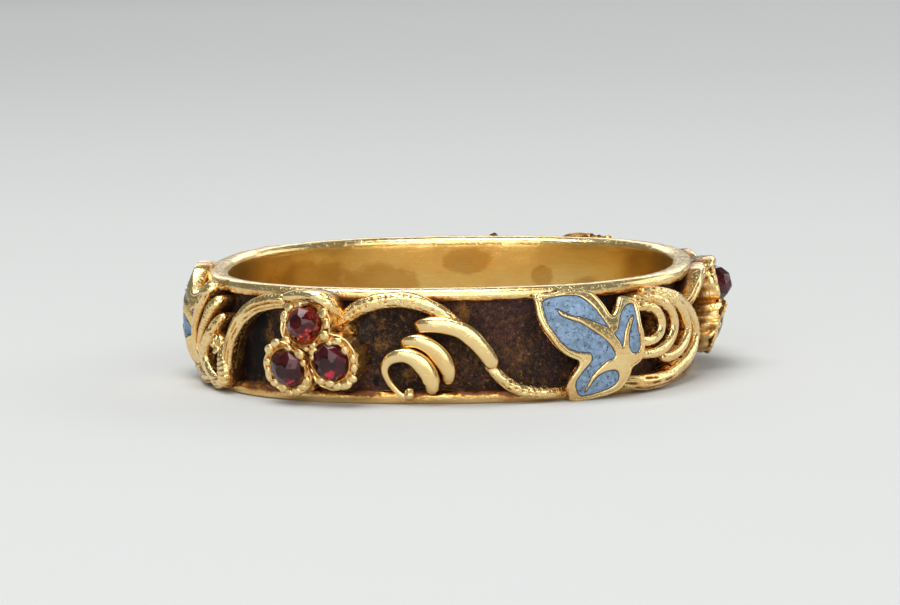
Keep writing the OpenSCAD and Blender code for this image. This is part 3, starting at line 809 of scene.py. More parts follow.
@dataclass(frozen=True)
class Wire:
    """A wire laid on the channel floor.

    Each row of the route is an angle, a height, the radius of the crest and a width. The
    seed moves its grain, sides and pitch set how fine its mesh is, and root_r is where it
    ends in the floor. Notch is the length of one notch, and tooled the share of the wire
    that has notches or pits. Flat presses its crest, stain is residue all over it, cast is
    the share that is left rough from casting, and fillet spreads its foot.
    """

    route: Sequence[Row]
    tooling: Tooling = Tooling.SMOOTH
    seed: float = 0.0
    sides: int = 24
    pitch: float = 0.07
    root_r: float = 9.5
    notch: float = 0.2
    tooled: Spot = (-1.0, 2.0)
    flat: float = 0.0
    stain: float = 0.0
    cast: float = -1.0
    fillet: float = 0.0

    def stations(self) -> list[tuple[float, float, float, float]]:
        """Returns evenly spaced rows of length along the ring, height, crest and width."""
        fine = [(RING.along(t), z, crest, w) for t, z, crest, w in smooth_line(self.route, 8)]
        run = [0.0]
        for a, b in zip(fine, fine[1:]):
            run.append(run[-1] + math.dist(a[:2], b[:2]))
        count = max(6, round(run[-1] / self.pitch))
        table = np.array(fine)
        at = np.linspace(0, run[-1], count + 1)
        return list(zip(*(np.interp(at, run, table[:, k]) for k in range(4))))

    def dent(self, s: float, share: float, a: float, half: float) -> tuple[float, float]:
        """Gives what the tool took away at one place.

        Args:
            s: How far along the wire it is, in millimetres.
            share: The same as a share of the wire's length.
            a: Its angle round the section, 90 degrees at the crest.
            half: Half the wire's width.

        Returns:
            How deep the place lies, and how much residue it holds.
        """
        deep = residue = 0.0
        low, high = self.tooled
        here = smoothstep(share, low - 0.06, low + 0.06)
        here *= 1 - smoothstep(share, high - 0.06, high + 0.06)
        on_crest = smoothstep(math.sin(math.radians(a)), -0.1, 0.4)
        groove = GROOVES.get(self.tooling)
        if groove:
            for k, line in enumerate(GROOVE_ANGLES):
                wander = 9 * noise.noise(Vector((s * 0.9, k * 5.1, self.seed)))
                off = abs(math.radians(a - line - wander)) * half
                skip = noise.noise(Vector((s * 1.7, k * 9.7, self.seed + 4)))
                cut = (1 - smoothstep(off, 0.015, groove.half)) * smoothstep(skip, groove.fade, 0.2)
                cut *= groove.even + groove.short * math.cos(math.tau * s / CUT_LENGTH + k)
                deep += groove.deep * cut
                residue += 0.95 * cut
        elif self.tooling is Tooling.NOTCHED:
            wave = 0.5 + 0.5 * math.cos(math.tau * (s / self.notch + 0.18 * math.radians(a - 90)))
            cut = wave ** 3 * on_crest * here
            cut *= 0.7 + 0.6 * noise.noise(Vector((s * 2.3, a / 60, self.seed + 11)))
            deep += 0.27 * self.notch * cut
            residue += 0.5 * cut
        rough = here
        if self.tooling is not Tooling.PITTED:
            rough = 1 - smoothstep(share, self.cast - 0.08, self.cast + 0.08)
        if rough > 0:
            pit = smoothstep(noise.noise(Vector((s * 4.5, a / 26, self.seed + 7))), 0.0, 0.5)
            pit *= on_crest * rough
            deep += 0.06 * pit
            residue += 0.6 * pit
        return deep, residue

    def lay(self, bm: bmesh.types.BMesh) -> None:
        """Adds the wire to a strip.

        Args:
            bm: The strip's mesh. It has a layer of recess and painted shade.
        """
        rows = self.stations()
        recess_and_shade = bm.verts.layers.float[RECESS_AND_SHADE]
        made = bmesh.ops.create_grid(bm, x_segments=len(rows) - 1, y_segments=self.sides,
                                     size=1)["verts"]
        made.sort(key=lambda v: (round(v.co.x, 5), round(v.co.y, 5)))
        length = self.pitch * (len(rows) - 1)
        ripple = 0.005 if self.tooling is Tooling.SMOOTH else 0.014
        for i, (x, y, crest, width) in enumerate(rows):
            before, after = rows[max(i - 1, 0)], rows[min(i + 1, len(rows) - 1)]
            along = Vector((after[0] - before[0], after[1] - before[1])).normalized()
            across = Vector((along.y, -along.x))
            s = i * self.pitch
            half = width / 2 * (1 + 0.08 * noise.noise(Vector((s * 1.4, self.seed, 2))))
            end = min(1.0, (min(s, length - s) + 0.02) / half)
            tip = math.sqrt(1 - (1 - end) ** 2)
            rise = 0.95 * half
            for k in range(self.sides + 1):
                a = 360 * k / self.sides
                c, up = math.cos(math.radians(a)), math.sin(math.radians(a))
                deep, residue = self.dent(s, s / length, a, half)
                deep += ripple * noise.noise(Vector((s * 3, c * 1.3 + up, self.seed + 20)))
                if up > 0:
                    c = math.copysign(abs(c) ** (1 - 0.3 * self.flat), c)
                    up **= 1 - 0.5 * self.flat
                out = half * tip - deep
                middle = crest - rise
                # Painted shade: the flanks and underside of the wire are darkened through the
                # recess attribute, on top of the residue in its cuts.
                if up >= 0:
                    r = middle + (rise - deep) * up * tip
                    low = 0.55 * (1 - up) ** 2
                else:
                    r = middle + (middle - self.root_r) * up
                    out *= 1 + self.fillet * smoothstep(-up, 0.0, 0.8)
                    low = 0.45 + (0.55 - 0.3 * self.fillet) * smoothstep(-up, 0.0, 0.4)
                v = made[i * (self.sides + 1) + k]
                v.co = (x + across.x * c * out, y + across.y * c * out, r)
                v[recess_and_shade] = min(1.0, low + residue + self.stain)

    @staticmethod
    def close(bm: bmesh.types.BMesh) -> None:
        """Joins the seams of all wires on a strip and closes their ends."""
        bmesh.ops.remove_doubles(bm, verts=bm.verts, dist=1e-5)
        bmesh.ops.holes_fill(bm, edges=[e for e in bm.edges if e.is_boundary], sides=0)


def strip() -> bmesh.types.BMesh:
    """Returns an empty strip with a layer of recess and painted shade."""
    bm = bmesh.new()
    bm.verts.layers.float.new(RECESS_AND_SHADE)
    return bm


# Behind the first spray the stem starts high, from that spray's closing loop.
STEM_RISE: list[Row] = [
    (-66.5, -1.72, 10.3, 0.46), (-63, -1.84, 10.46, 0.54), (-59.2, -1.76, 10.5, 0.56),
    (-56.6, -1.3, 10.5, 0.56), (-55.7, -0.6, 10.5, 0.56), (-54.1, 0.04, 10.5, 0.58),
    (-51.4, 0.66, 10.5, 0.62), (-48.2, 1.14, 10.5, 0.64), (-45, 1.44, 10.5, 0.64),
    (-41.5, 1.62, 10.5, 0.64), (-36.5, 1.7, 10.5, 0.58),
]
STEM_RISE_HIGH: list[Row] = [
    (-59, 0.75, 10.4, 0.4), (-56, 0.95, 10.54, 0.48), (-52, 1.3, 10.6, 0.56),
    (-47, 1.65, 10.64, 0.6), (-42, 1.82, 10.64, 0.6), (-36.5, 1.84, 10.58, 0.54),
]
STEM_ARCH: list[Row] = [
    (-25.8, 0.8, 10.3, 0.46), (-23.6, 1.1, 10.46, 0.56), (-21, 1.45, 10.5, 0.62),
    (-18, 1.68, 10.52, 0.64), (-15, 1.8, 10.52, 0.64), (-11, 1.84, 10.52, 0.64),
    (-7, 1.72, 10.5, 0.62), (-3, 1.4, 10.5, 0.56), (0.5, 1, 10.5, 0.5),
    (4, 0.45, 10.45, 0.46), (6.8, -0.2, 10.45, 0.42),
]
STEM_LOW: list[Row] = [
    (6.2, -0.3, 10.2, 0.3), (8.6, -0.85, 10.45, 0.46), (11, -1.28, 10.48, 0.5),
    (14, -1.62, 10.48, 0.5), (18, -1.8, 10.46, 0.5), (22, -1.83, 10.4, 0.48),
    (25, -1.82, 10.26, 0.46), (31, -1.78, 10.26, 0.46), (36, -1.7, 10.26, 0.46),
]
STEM_UNDER: list[Row] = [
    (35, -1.6, 10.26, 0.5), (39, -1.68, 10.45, 0.6), (44, -1.78, 10.5, 0.64),
    (50, -1.8, 10.5, 0.64), (54, -1.74, 10.45, 0.56), (58, -1.66, 10.4, 0.44),
]
BUNCH_HOOD: list[Row] = [
    (-37, 1.66, 10.5, 0.34), (-35.6, 1.88, 10.8, 0.36), (-33.4, 1.98, 10.92, 0.4),
    (-31, 2.01, 10.98, 0.44), (-28.6, 1.96, 11, 0.5), (-26.8, 1.84, 10.96, 0.54),
    (-25.6, 1.58, 10.86, 0.5), (-25, 1.28, 10.62, 0.42), (-25, 1, 10.35, 0.34),
]
COIL: list[list[Row]] = [
    [
        (-8.5, 0.74, 10.25, 0.38), (-7.2, 0.84, 10.55, 0.54), (-4.5, 0.92, 10.72, 0.62),
        (-1.4, 0.88, 10.75, 0.68), (1.7, 0.71, 10.77, 0.71), (4.1, 0.41, 10.77, 0.72),
        (6.2, 0, 10.75, 0.7), (7.8, -0.42, 10.7, 0.64), (8.8, -0.8, 10.6, 0.5),
    ],
    [
        (-11.4, 0.06, 10.3, 0.35), (-9.6, 0.25, 10.52, 0.5), (-7.3, 0.28, 10.64, 0.58),
        (-4.9, 0.11, 10.68, 0.66), (-2.9, -0.21, 10.68, 0.74), (-1.5, -0.6, 10.66, 0.72),
        (-0.9, -1, 10.56, 0.6), (-1.4, -1.42, 10.25, 0.38),
    ],
    [
        (-10.2, -1.95, 10.2, 0.22), (-12, -1.74, 10.25, 0.24), (-14, -1.32, 10.3, 0.26),
        (-14.9, -0.88, 10.4, 0.3), (-14.2, -0.52, 10.5, 0.43), (-12.3, -0.3, 10.6, 0.54),
        (-10, -0.26, 10.66, 0.6), (-7.8, -0.42, 10.68, 0.7), (-6, -0.73, 10.68, 0.78),
        (-4.9, -1.08, 10.66, 0.74), (-4.6, -1.42, 10.6, 0.62), (-5.4, -1.72, 10.42, 0.45),
    ],
]
ROUND_LOOPS: list[list[Row]] = [
    [
        (38, 1.1, 10.5, 0.38), (42.4, 1.2, 10.5, 0.38), (46.4, 1.08, 10.5, 0.4),
        (49, 0.76, 10.5, 0.43), (49.8, 0.38, 10.5, 0.45), (49, 0.02, 10.5, 0.43),
        (46.2, -0.18, 10.5, 0.4), (42.3, -0.14, 10.5, 0.38), (38, 0, 10.45, 0.36),
    ],
    [
        (41, 1.48, 10.4, 0.38), (46, 1.46, 10.46, 0.4), (50.6, 1.2, 10.5, 0.44),
        (53.7, 0.82, 10.5, 0.48), (55.3, 0.34, 10.5, 0.5), (54.7, -0.1, 10.5, 0.5),
        (52, -0.46, 10.5, 0.48), (48, -0.68, 10.48, 0.44), (43, -0.68, 10.45, 0.38),
        (39, -0.6, 10.4, 0.36),
    ],
    [
        (46, 1.62, 10.35, 0.38), (52, 1.42, 10.44, 0.42), (57.2, 1.02, 10.5, 0.47),
        (61, 0.52, 10.5, 0.5), (63.3, -0.05, 10.5, 0.5), (61.8, -0.5, 10.5, 0.5),
        (58, -0.86, 10.45, 0.46), (53.5, -1, 10.4, 0.42), (50.5, -0.95, 10.35, 0.34),
    ],
    [
        (44, 1.7, 10.3, 0.34), (49, 1.64, 10.4, 0.38), (56, 1.32, 10.46, 0.44),
        (61.6, 0.88, 10.5, 0.47), (66, 0.42, 10.52, 0.49), (69.6, -0.1, 10.53, 0.5),
        (70, -0.62, 10.53, 0.52), (66, -1.14, 10.52, 0.56), (60, -1.48, 10.46, 0.58),
        (52.5, -1.74, 10.4, 0.5),
    ],
]
CLAWS: list[list[Row]] = [
    [
        (58.8, 1.98, 10.45, 0.42), (57.3, 1.78, 10.7, 0.52), (55.5, 1.38, 10.82, 0.54),
        (53.4, 0.96, 10.86, 0.48), (51.2, 0.5, 10.88, 0.42), (49.6, 0.04, 10.88, 0.38),
        (48.8, -0.4, 10.84, 0.36), (49.1, -0.82, 10.74, 0.36), (50.9, -1.16, 10.58, 0.36),
        (53.4, -1.45, 10.4, 0.32),
    ],
    [
        (61.4, 1.52, 10.36, 0.36), (60.2, 1.32, 10.62, 0.47), (58.9, 1.05, 10.72, 0.5),
        (57.3, 0.76, 10.74, 0.47), (55.4, 0.44, 10.74, 0.4), (53.4, 0.08, 10.74, 0.36),
        (51.4, -0.28, 10.72, 0.34), (50.4, -0.64, 10.7, 0.34), (51, -1.02, 10.6, 0.34),
        (53, -1.42, 10.4, 0.3),
    ],
    [
        (62.4, 0.86, 10.36, 0.34), (60.8, 0.6, 10.56, 0.46), (58.8, 0.28, 10.64, 0.52),
        (56.8, -0.06, 10.68, 0.56), (54.4, -0.42, 10.7, 0.56), (53.2, -0.8, 10.7, 0.56),
        (53.6, -1.16, 10.66, 0.56), (55.2, -1.5, 10.58, 0.54), (58.4, -1.84, 10.44, 0.5),
    ],
    [
        (61.8, -0.2, 10.3, 0.36), (62.2, -0.55, 10.5, 0.56), (62.7, -0.9, 10.6, 0.7),
        (63.2, -1.3, 10.64, 0.74), (63, -1.66, 10.6, 0.68), (62, -1.95, 10.4, 0.5),
    ],
]
# The rough solder between the bunch and the arch of the stem, and the solder among the claws
SOLDER: list[Row] = [
    (-27.2, 1.25, 10.35, 0.5), (-26, 1, 10.42, 0.8), (-24.8, 0.7, 10.32, 0.9),
    (-23.6, 0.42, 10.1, 0.8), (-22.6, 0.2, 9.85, 0.5),
]
CLAW_SOLDER: list[Row] = [
    (57.8, 0.1, 10.42, 0.5), (59.2, -0.12, 10.5, 0.7), (60.5, -0.4, 10.5, 0.74),
    (61.4, -0.7, 10.38, 0.5),
]
# The thin gold that joins the top of the claws to the rim
CLAW_WEB: list[Row] = [
    (58, 1.94, 10.3, 0.46), (60.4, 1.97, 10.16, 0.46), (63, 1.98, 9.92, 0.36),
    (65, 1.96, 9.75, 0.3),
]
# The grains of solder between the claws
LUMPS: list[Row] = [
    (58.7, 0.06, 10.47, 0.16), (60.1, -0.06, 10.48, 0.16), (59.3, -0.3, 10.53, 0.17),
    (60.8, -0.52, 10.47, 0.14), (59.9, -0.6, 10.5, 0.12),
]
# The bead at the end of the coiled tendril
COIL_BEAD: Row = (-9.6, -1.78, 10.2, 0.25)
# The blob of solder that shows above the back rim
BACK_LUMP: Row = (49, 2.1, 10.05, 0.2)


@dataclass
class Vine:
    """The stem and the tendrils of one spray."""

    spray: int

    @property
    def turn(self) -> float:
        """The spray's angle on the ring."""
        return self.spray * SPRAY_TURN

    def grains(self, bm: bmesh.types.BMesh, rows: Iterable[Row]) -> None:
        """Adds round grains of gold to a strip, each from its angle, height, radius and size."""
        recess_and_shade = bm.verts.layers.float[RECESS_AND_SHADE]
        for k, (t, z, r, size) in enumerate(rows):
            made = bmesh.ops.create_icosphere(bm, subdivisions=3, radius=1)["verts"]
            for v in made:
                swell = size * (1 + 0.22 * noise.noise(v.co * 1.5 + Vector((k, self.spray, 0))))
                # Painted shade on the lower half of each grain.
                v[recess_and_shade] = 0.8 * smoothstep(-v.co.z, -0.7, 0.2) + 0.15
                v.co = Vector((RING.along(t), z, r - 0.5 * size)) + swell * v.co

    def wires(self, name: str, wires: Iterable[Wire], finish: bpy.types.Material,
              grains: Iterable[Row] = ()) -> None:
        """Lays wires on a strip and wraps them round the ring as one piece.

        Args:
            name: The piece's name, without its number.
            wires: The wires.
            finish: The piece's finish.
            grains: The grains of gold that lie among them.
        """
        bm = strip()
        for wire in wires:
            wire.lay(bm)
        Wire.close(bm)
        self.grains(bm, grains)
        RING.wrap(bm, self.turn)
        Workshop.piece(bm, f"{name}_{self.spray + 1}", finish, "gold")

    def build(self, finishes: Finishes) -> None:
        """Builds the stem, the coiled tendril and the looped tendril."""
        seed = 3.0 * self.spray
        rise = STEM_RISE_HIGH if self.spray == 1 else STEM_RISE
        drop = 0.2 if self.spray == 2 else 0.0
        hood = [(t, z - drop, crest, width - drop / 2) for t, z, crest, width in BUNCH_HOOD]
        self.wires("stem", [
            Wire(rise, Tooling.FLUTED, seed, 32, 0.06, flat=0.3),
            Wire(STEM_ARCH, Tooling.ENGRAVED, seed + 1, 36, 0.05, flat=0.4),
            Wire(STEM_LOW, Tooling.ENGRAVED, seed + 2, 32, 0.05),
            Wire(STEM_UNDER, Tooling.FLUTED, seed + 6, 36, 0.05, stain=0.12),
            Wire(hood, Tooling.PITTED, seed + 3, tooled=(0.45, 2)),
            Wire(SOLDER, Tooling.PITTED, seed + 5, stain=0.45),
        ], finishes.relief)
        self.wires("coil", [
            Wire(turn, Tooling.SMOOTH, seed + k, 32, 0.05, flat=0.6) for k, turn in enumerate(COIL)
        ], finishes.polished, [COIL_BEAD])
        if self.spray == 0:
            self.wires("loops", [
                Wire(loop, Tooling.NOTCHED, seed + k, 28, 0.05, notch=0.15, tooled=(0.84, 0.99),
                     flat=0.3, cast=0.3, fillet=0.6) for k, loop in enumerate(ROUND_LOOPS)
            ], finishes.relief)
            return
        tools = ((Tooling.PITTED, (0, 0.25)), (Tooling.NOTCHED, (0, 0.45)),
                 (Tooling.PITTED, (0, 0.3)), (Tooling.NOTCHED, (0.1, 1)))
        claws = [Wire(claw, tooling, seed + k, 32, 0.045, notch=0.18, tooled=tooled, flat=0.2,
                      stain=0.1) for k, (claw, (tooling, tooled)) in enumerate(zip(CLAWS, tools))]
        claws.append(Wire(CLAW_SOLDER, Tooling.PITTED, seed + 6, stain=0.15))
        claws.append(Wire(CLAW_WEB, Tooling.PITTED, seed + 7, stain=0.5))
        lumps = [*LUMPS, BACK_LUMP] if self.spray == 1 else LUMPS
        self.wires("loops", claws, finishes.relief, lumps)


LEAF_OUTLINE: list[Spot] = [
    (17.8, 1.95), (20.5, 1.93), (23.8, 2.02), (26.5, 2.03), (28.6, 1.98), (30, 1.88),
    (31, 1.66), (31.9, 1.4), (32.8, 1.08), (33.7, 0.99), (34.7, 1.12), (35.7, 1.42),
    (36.7, 1.63), (38.2, 1.6), (39.7, 1.48), (40.1, 1.12), (40.1, 0.6), (40.5, 0.2),
    (40.7, -0.15), (40.5, -0.56), (39.8, -0.81), (38, -1.01), (37.7, -1.24), (37.3, -1.46),
    (36.7, -1.68), (35.6, -1.86), (33.6, -2), (30.6, -2.1), (28, -2.15), (25.5, -2.14),
    (24.8, -1.98), (24.1, -1.6), (24.3, -1.32), (25.4, -1), (26.1, -0.74), (25.8, -0.54),
    (24.2, -0.4), (22.5, -0.19), (21.3, 0.06), (20.1, 0.37), (18.8, 0.72), (17.9, 1.15),
    (17.7, 1.55),
]
CELL_LARGE: list[Spot] = [
    (18.8, 1.5), (19.3, 1.76), (22, 1.86), (24.2, 1.89), (26.7, 1.84), (28.3, 1.66),
    (29.7, 1.38), (30.7, 1.1), (31.7, 0.8), (32.3, 0.6), (30.6, 0.74), (28.4, 0.92),
    (26.4, 1.06), (24.3, 1.16), (21.8, 1.4), (22.4, 1.16), (24.3, 1), (26.3, 0.86),
    (28.2, 0.62), (30.1, 0.36), (32, 0.05), (33.1, -0.2), (33.6, -0.55), (31.7, -0.72),
    (30.3, -0.94), (29, -1.22), (28.2, -1.52), (27.7, -1.86), (28.3, -1.72), (29.5, -1.32),
    (31.2, -1.12), (33, -1.05), (34.4, -1.1), (35.1, -1.36), (34.8, -1.62), (33.2, -1.8),
    (30.8, -1.93), (28.1, -2), (26.5, -1.96), (25.4, -1.55), (25.7, -1.26), (27, -0.92),
    (28.3, -0.62), (28, -0.34), (26, -0.27), (24, -0.14), (22.2, 0.12), (20.7, 0.5),
    (19.4, 0.9),
]
CELL_SMALL: list[Spot] = [
    (33.4, 0.36), (34.3, 0.48), (35.1, 0.9), (36.1, 1.2), (37.7, 1.4), (39.3, 1.34),
    (39.5, 1.02), (39.4, 0.5), (39.8, 0.1), (39.8, -0.25), (39.1, -0.46), (37.7, -0.46),
    (36.9, -0.16), (37, 0.3), (37.8, 0.64), (38.6, 0.96), (37.4, 0.78), (36.2, 0.46),
    (35.7, 0.1), (35.3, -0.2), (34.5, 0.06),
]


@dataclass(frozen=True)
class Outline:
    """A closed outline on the strip, which tells how far inside it a place lies."""

    corners: Sequence[Spot]
    steps: int = 3

    def line(self) -> np.ndarray:
        """Returns its smooth line, in millimetres along the ring and up."""
        corners = [(RING.along(t), z) for t, z in self.corners]
        return np.array(smooth_line(corners, self.steps, closed=True))

    def measure(self, at: np.ndarray) -> tuple[np.ndarray, np.ndarray]:
        """Measures places against the outline.

        Args:
            at: The places, one to a row.

        Returns:
            How far inside each lies, below 0 outside, and the outline's nearest point.
        """
        a = self.line()
        b = np.roll(a, -1, axis=0)
        d = b - a
        rel = at[:, None, :] - a[None]
        f = np.clip((rel * d).sum(2) / (d * d).sum(1), 0, 1)
        nearest = a[None] + f[..., None] * d[None]
        away = np.linalg.norm(at[:, None, :] - nearest, axis=2)
        pick = away.argmin(1)
        rows = np.arange(len(at))
        crossing = (a[None, :, 1] > at[:, None, 1]) != (b[None, :, 1] > at[:, None, 1])
        with np.errstate(divide="ignore", invalid="ignore"):
            x = a[None, :, 0] + (at[:, None, 1] - a[None, :, 1]) * d[None, :, 0] / d[None, :, 1]
        inside = (crossing & (at[:, None, 0] < x)).sum(1) % 2 == 1
        return np.where(inside, 1, -1) * away[rows, pick], nearest[rows, pick]


@dataclass(frozen=True)
class LeafSeat:
    """How one leaf lies and has aged.

    It has a turn and a rise, stands out on its left and is pressed in on its right side,
    and has lost its enamel below a height.
    """

    turn: float
    rise: float
    lift: float = 0.0
    press: float = 0.0
    thick: float = 0.3
    bare_z: float = -9.0


# Section of the border round a leaf: how far outside the outline, and how far below the face
EDGING: list[Spot] = [
    (-0.13, 0.06), (-0.1, 0.008), (-0.06, -0.014), (-0.01, -0.012), (0.03, 0.012), (0.055, 0.06),
    (0.055, 0.14), (0.035, 0.24), (-0.02, 0.31), (-0.1, 0.29),
]


@dataclass
class Leaf:
    """One leaf: a domed gold plate with veins and a smooth border, and enamel in its cells."""

    spray: int
    seat: LeafSeat
    face_r: float = 10.95
    camber: float = 4.2
    crown_z: float = -0.1
    pitch: float = 0.045
    enamel_thick: float = 0.09
    cell_depth: float = 0.17
    plate_thick: float = 0.3
    enamel_depth: float = 0.03
    edge_round: float = 0.12
    edge_drop: float = 0.1
    margin: float = 0.06

    def face(self, z: float) -> float:
        """Returns the radius of the domed face at a height."""
        return self.face_r - self.camber + math.sqrt(self.camber ** 2 - (z - self.crown_z) ** 2)

    def sheet(self, bm: bmesh.types.BMesh, outline: Outline, spare: float) -> None:
        """Makes a flat grid that fills an outline.

        Args:
            bm: The mesh that it goes into.
            outline: The outline.
            spare: How far the grid may run outside it. At 0 it ends on the outline.
        """
        line = outline.line()
        low, high = line.min(0) - spare, line.max(0) + spare
        size = high - low
        columns, rows = (int(side / self.pitch) for side in size)
        bmesh.ops.create_grid(bm, x_segments=columns, y_segments=rows, size=0.5)
        for v in bm.verts:
            v.co = (low[0] + (v.co.x + 0.5) * size[0], low[1] + (v.co.y + 0.5) * size[1], 0)
        centres = np.array([f.calc_center_median()[:2] for f in bm.faces])
        inside = outline.measure(centres)[0]
        outside = [f for f, d in zip(list(bm.faces), inside) if d < -spare]
        bmesh.ops.delete(bm, geom=outside, context="FACES")
        if spare == 0:
            rim = [v for v in bm.verts if v.is_boundary]
            nearest = outline.measure(np.array([v.co[:2] for v in rim]))[1]
            for v, spot in zip(rim, nearest):
                v.co = (*spot, 0)

    def swell(self, x: float, y: float) -> float:
        """Returns how far the worn face lies below the true dome at a place."""
        number = self.spray + 1
        return 0.02 * grain(x, y, number, 1.3, 2) + 0.009 * grain(x, y, number, 4.5, 4)

    def thicken(self, bm: bmesh.types.BMesh, thick: float) -> None:
        """Gives a sheet its thickness, below its face."""
        bmesh.ops.recalc_face_normals(bm, faces=bm.faces)
        if sum(f.normal.z for f in bm.faces) < 0:
            bmesh.ops.reverse_faces(bm, faces=bm.faces)
        bmesh.ops.solidify(bm, geom=bm.faces, thickness=thick)

    def edging(self, bm: bmesh.types.BMesh, outline: Outline) -> None:
        """Adds the smooth border that runs round the plate.

        Args:
            bm: The plate's mesh. It has a layer of recess and painted shade.
            outline: The plate's outline, which runs clockwise.
        """
        recess_and_shade = bm.verts.layers.float[RECESS_AND_SHADE]
        line = outline.line()
        along = np.roll(line, -1, axis=0) - np.roll(line, 1, axis=0)
        along /= np.linalg.norm(along, axis=1)[:, None]
        rings = []
        for (x, y), (dx, dy) in zip(line, along):
            ring = []
            for out, depth in EDGING:
                deep = depth * (self.seat.thick / self.plate_thick if depth > 0.1 else 1)
                v = bm.verts.new((x - dy * out, y + dx * out,
                                  self.face(y) - deep - self.swell(x, y)))
                # Painted shade on the border's side wall, below the leaf's face.
                v[recess_and_shade] = 0.75 * smoothstep(depth, 0.05, 0.2) * smoothstep(out, -0.1, 0)
                ring.append(v)
            rings.append(ring)
        for a, b in zip(rings, rings[1:] + rings[:1]):
            for k in range(len(EDGING)):
                bm.faces.new((a[k - 1], a[k], b[k], b[k - 1]))

    def finish(self, bm: bmesh.types.BMesh, name: str, material: bpy.types.Material,
               slot: str, replaces: Sequence[str] = ()) -> None:
        """Wraps a part of the leaf round the ring and makes a piece of it."""
        for v in bm.verts:
            v.co.y += self.seat.rise
            v.co.z += self.seat.lift - self.seat.press * smoothstep(RING.angle(v.co.x), 30, 38)
        RING.wrap(bm, self.spray * SPRAY_TURN + self.seat.turn)
        Workshop.piece(bm, name, material, slot, replaces)

    def build(self, finishes: Finishes) -> None:
        """Builds the gold plate and the two fields of enamel."""
        number = self.spray + 1
        cells = {"large": Outline(CELL_LARGE), "small": Outline(CELL_SMALL)}
        bm = strip()
        recess_and_shade = bm.verts.layers.float[RECESS_AND_SHADE]
        outline = Outline(LEAF_OUTLINE, 6)
        self.sheet(bm, outline, 0.0)
        at = np.array([v.co[:2] for v in bm.verts])
        inside = outline.measure(at)[0]
        in_cell = np.maximum(*(cell.measure(at)[0] for cell in cells.values()))
        for v, d, cell in zip(bm.verts, inside, in_cell):
            x, y = v.co.x, v.co.y
            edge = 1 - min(1.0, max(d, 0) / self.edge_round)
            drop = self.edge_drop * (1 - math.sqrt(1 - edge * edge))
            drop += self.cell_depth * smoothstep(cell, -0.03, 0.07)
            v.co.z = self.face(y) - drop - self.swell(x, y)
            bare = smoothstep(self.seat.bare_z - y, -0.1, 0.1)
            v[recess_and_shade] = 0.9 * smoothstep(cell, -0.045, 0.0) * (1 - 0.7 * bare)
        self.thicken(bm, self.plate_thick)
        self.edging(bm, outline)
        self.finish(bm, f"leaf_{number}", finishes.leaf, "gold")
        for title, cell in cells.items():
            bm = strip()
            recess_and_shade = bm.verts.layers.float[RECESS_AND_SHADE]
            self.sheet(bm, cell, self.margin)
            depth = cell.measure(np.array([v.co[:2] for v in bm.verts]))[0]
            for v, d in zip(bm.verts, depth):
                x, y = v.co.x, v.co.y
                chip = 0.02 * smoothstep(grain(x, y, number, 2.6, 9), 0.2, 0.6)
                lost = 0.2 * smoothstep(self.seat.bare_z - y, -0.1, 0.1)
                v.co.z = self.face(y) - self.enamel_depth - chip - lost
                v.co.z -= 0.01 * grain(x, y, number, 1.6, 6)
                v[recess_and_shade] = 1 - smoothstep(d, 0.0, 0.075)
            name = f"enamel_{number}_{title}"
            self.thicken(bm, self.enamel_thick)
            self.finish(bm, f"{name}_field", finishes.enamel, "enamel", [name])


# A bead: its angle, height, length and width, and the turn of its length
BeadRow = tuple[float, float, float, float, float]

BEADS: list[BeadRow] = [
    (-35.4, 1.21, 0.2, 0.15, 80), (-34.6, 1.56, 0.17, 0.16, 0), (-32.5, 1.7, 0.18, 0.17, 0),
    (-30.8, 1.84, 0.17, 0.15, 20), (-28.7, 1.84, 0.34, 0.1, -14), (-26.8, 1.4, 0.21, 0.2, 0),
    (-25.7, 1.02, 0.2, 0.14, 100), (-25.5, 0.53, 0.18, 0.17, 0), (-34.6, 0.24, 0.2, 0.18, 0),
    (-36.2, 0.17, 0.2, 0.14, 20), (-35.1, 0.78, 0.26, 0.08, 85), (-38, -0.1, 0.19, 0.16, 50),
    (-38.8, -0.62, 0.14, 0.13, 0), (-39, -1.1, 0.28, 0.13, 90), (-37.9, -1.45, 0.16, 0.14, 0),
    (-36.1, -1.62, 0.2, 0.17, 110), (-34.5, -1.8, 0.18, 0.13, 150), (-32.8, -1.73, 0.19, 0.17, 20),
    (-31.2, -1.52, 0.18, 0.14, 0), (-30, -1.28, 0.17, 0.15, 60), (-29.3, -0.95, 0.16, 0.15, 0),
    (-30.8, -0.22, 0.2, 0.19, 0), (-30.2, -0.56, 0.15, 0.13, 30), (-30, 0.02, 0.13, 0.11, 0),
    (-27.2, -1.25, 0.16, 0.14, 0), (-25.3, -1.33, 0.17, 0.15, 0), (-23.6, -1.43, 0.18, 0.15, 10),
    (-21.9, -1.38, 0.26, 0.15, 20), (-20.2, -1.1, 0.16, 0.15, 0), (-19.7, -0.68, 0.16, 0.13, 90),
    (-19.8, -0.33, 0.15, 0.13, 90), (-21.4, -0.02, 0.16, 0.15, 0), (-23, 0.32, 0.22, 0.13, 10),
    (-24.6, 0.24, 0.13, 0.11, 0), (-33, 0, 0.13, 0.11, 0), (-28.6, -0.35, 0.12, 0.1, 0),
    (-28.2, 0.12, 0.14, 0.12, 30), (-28.3, -0.12, 0.2, 0.18, 0),
]
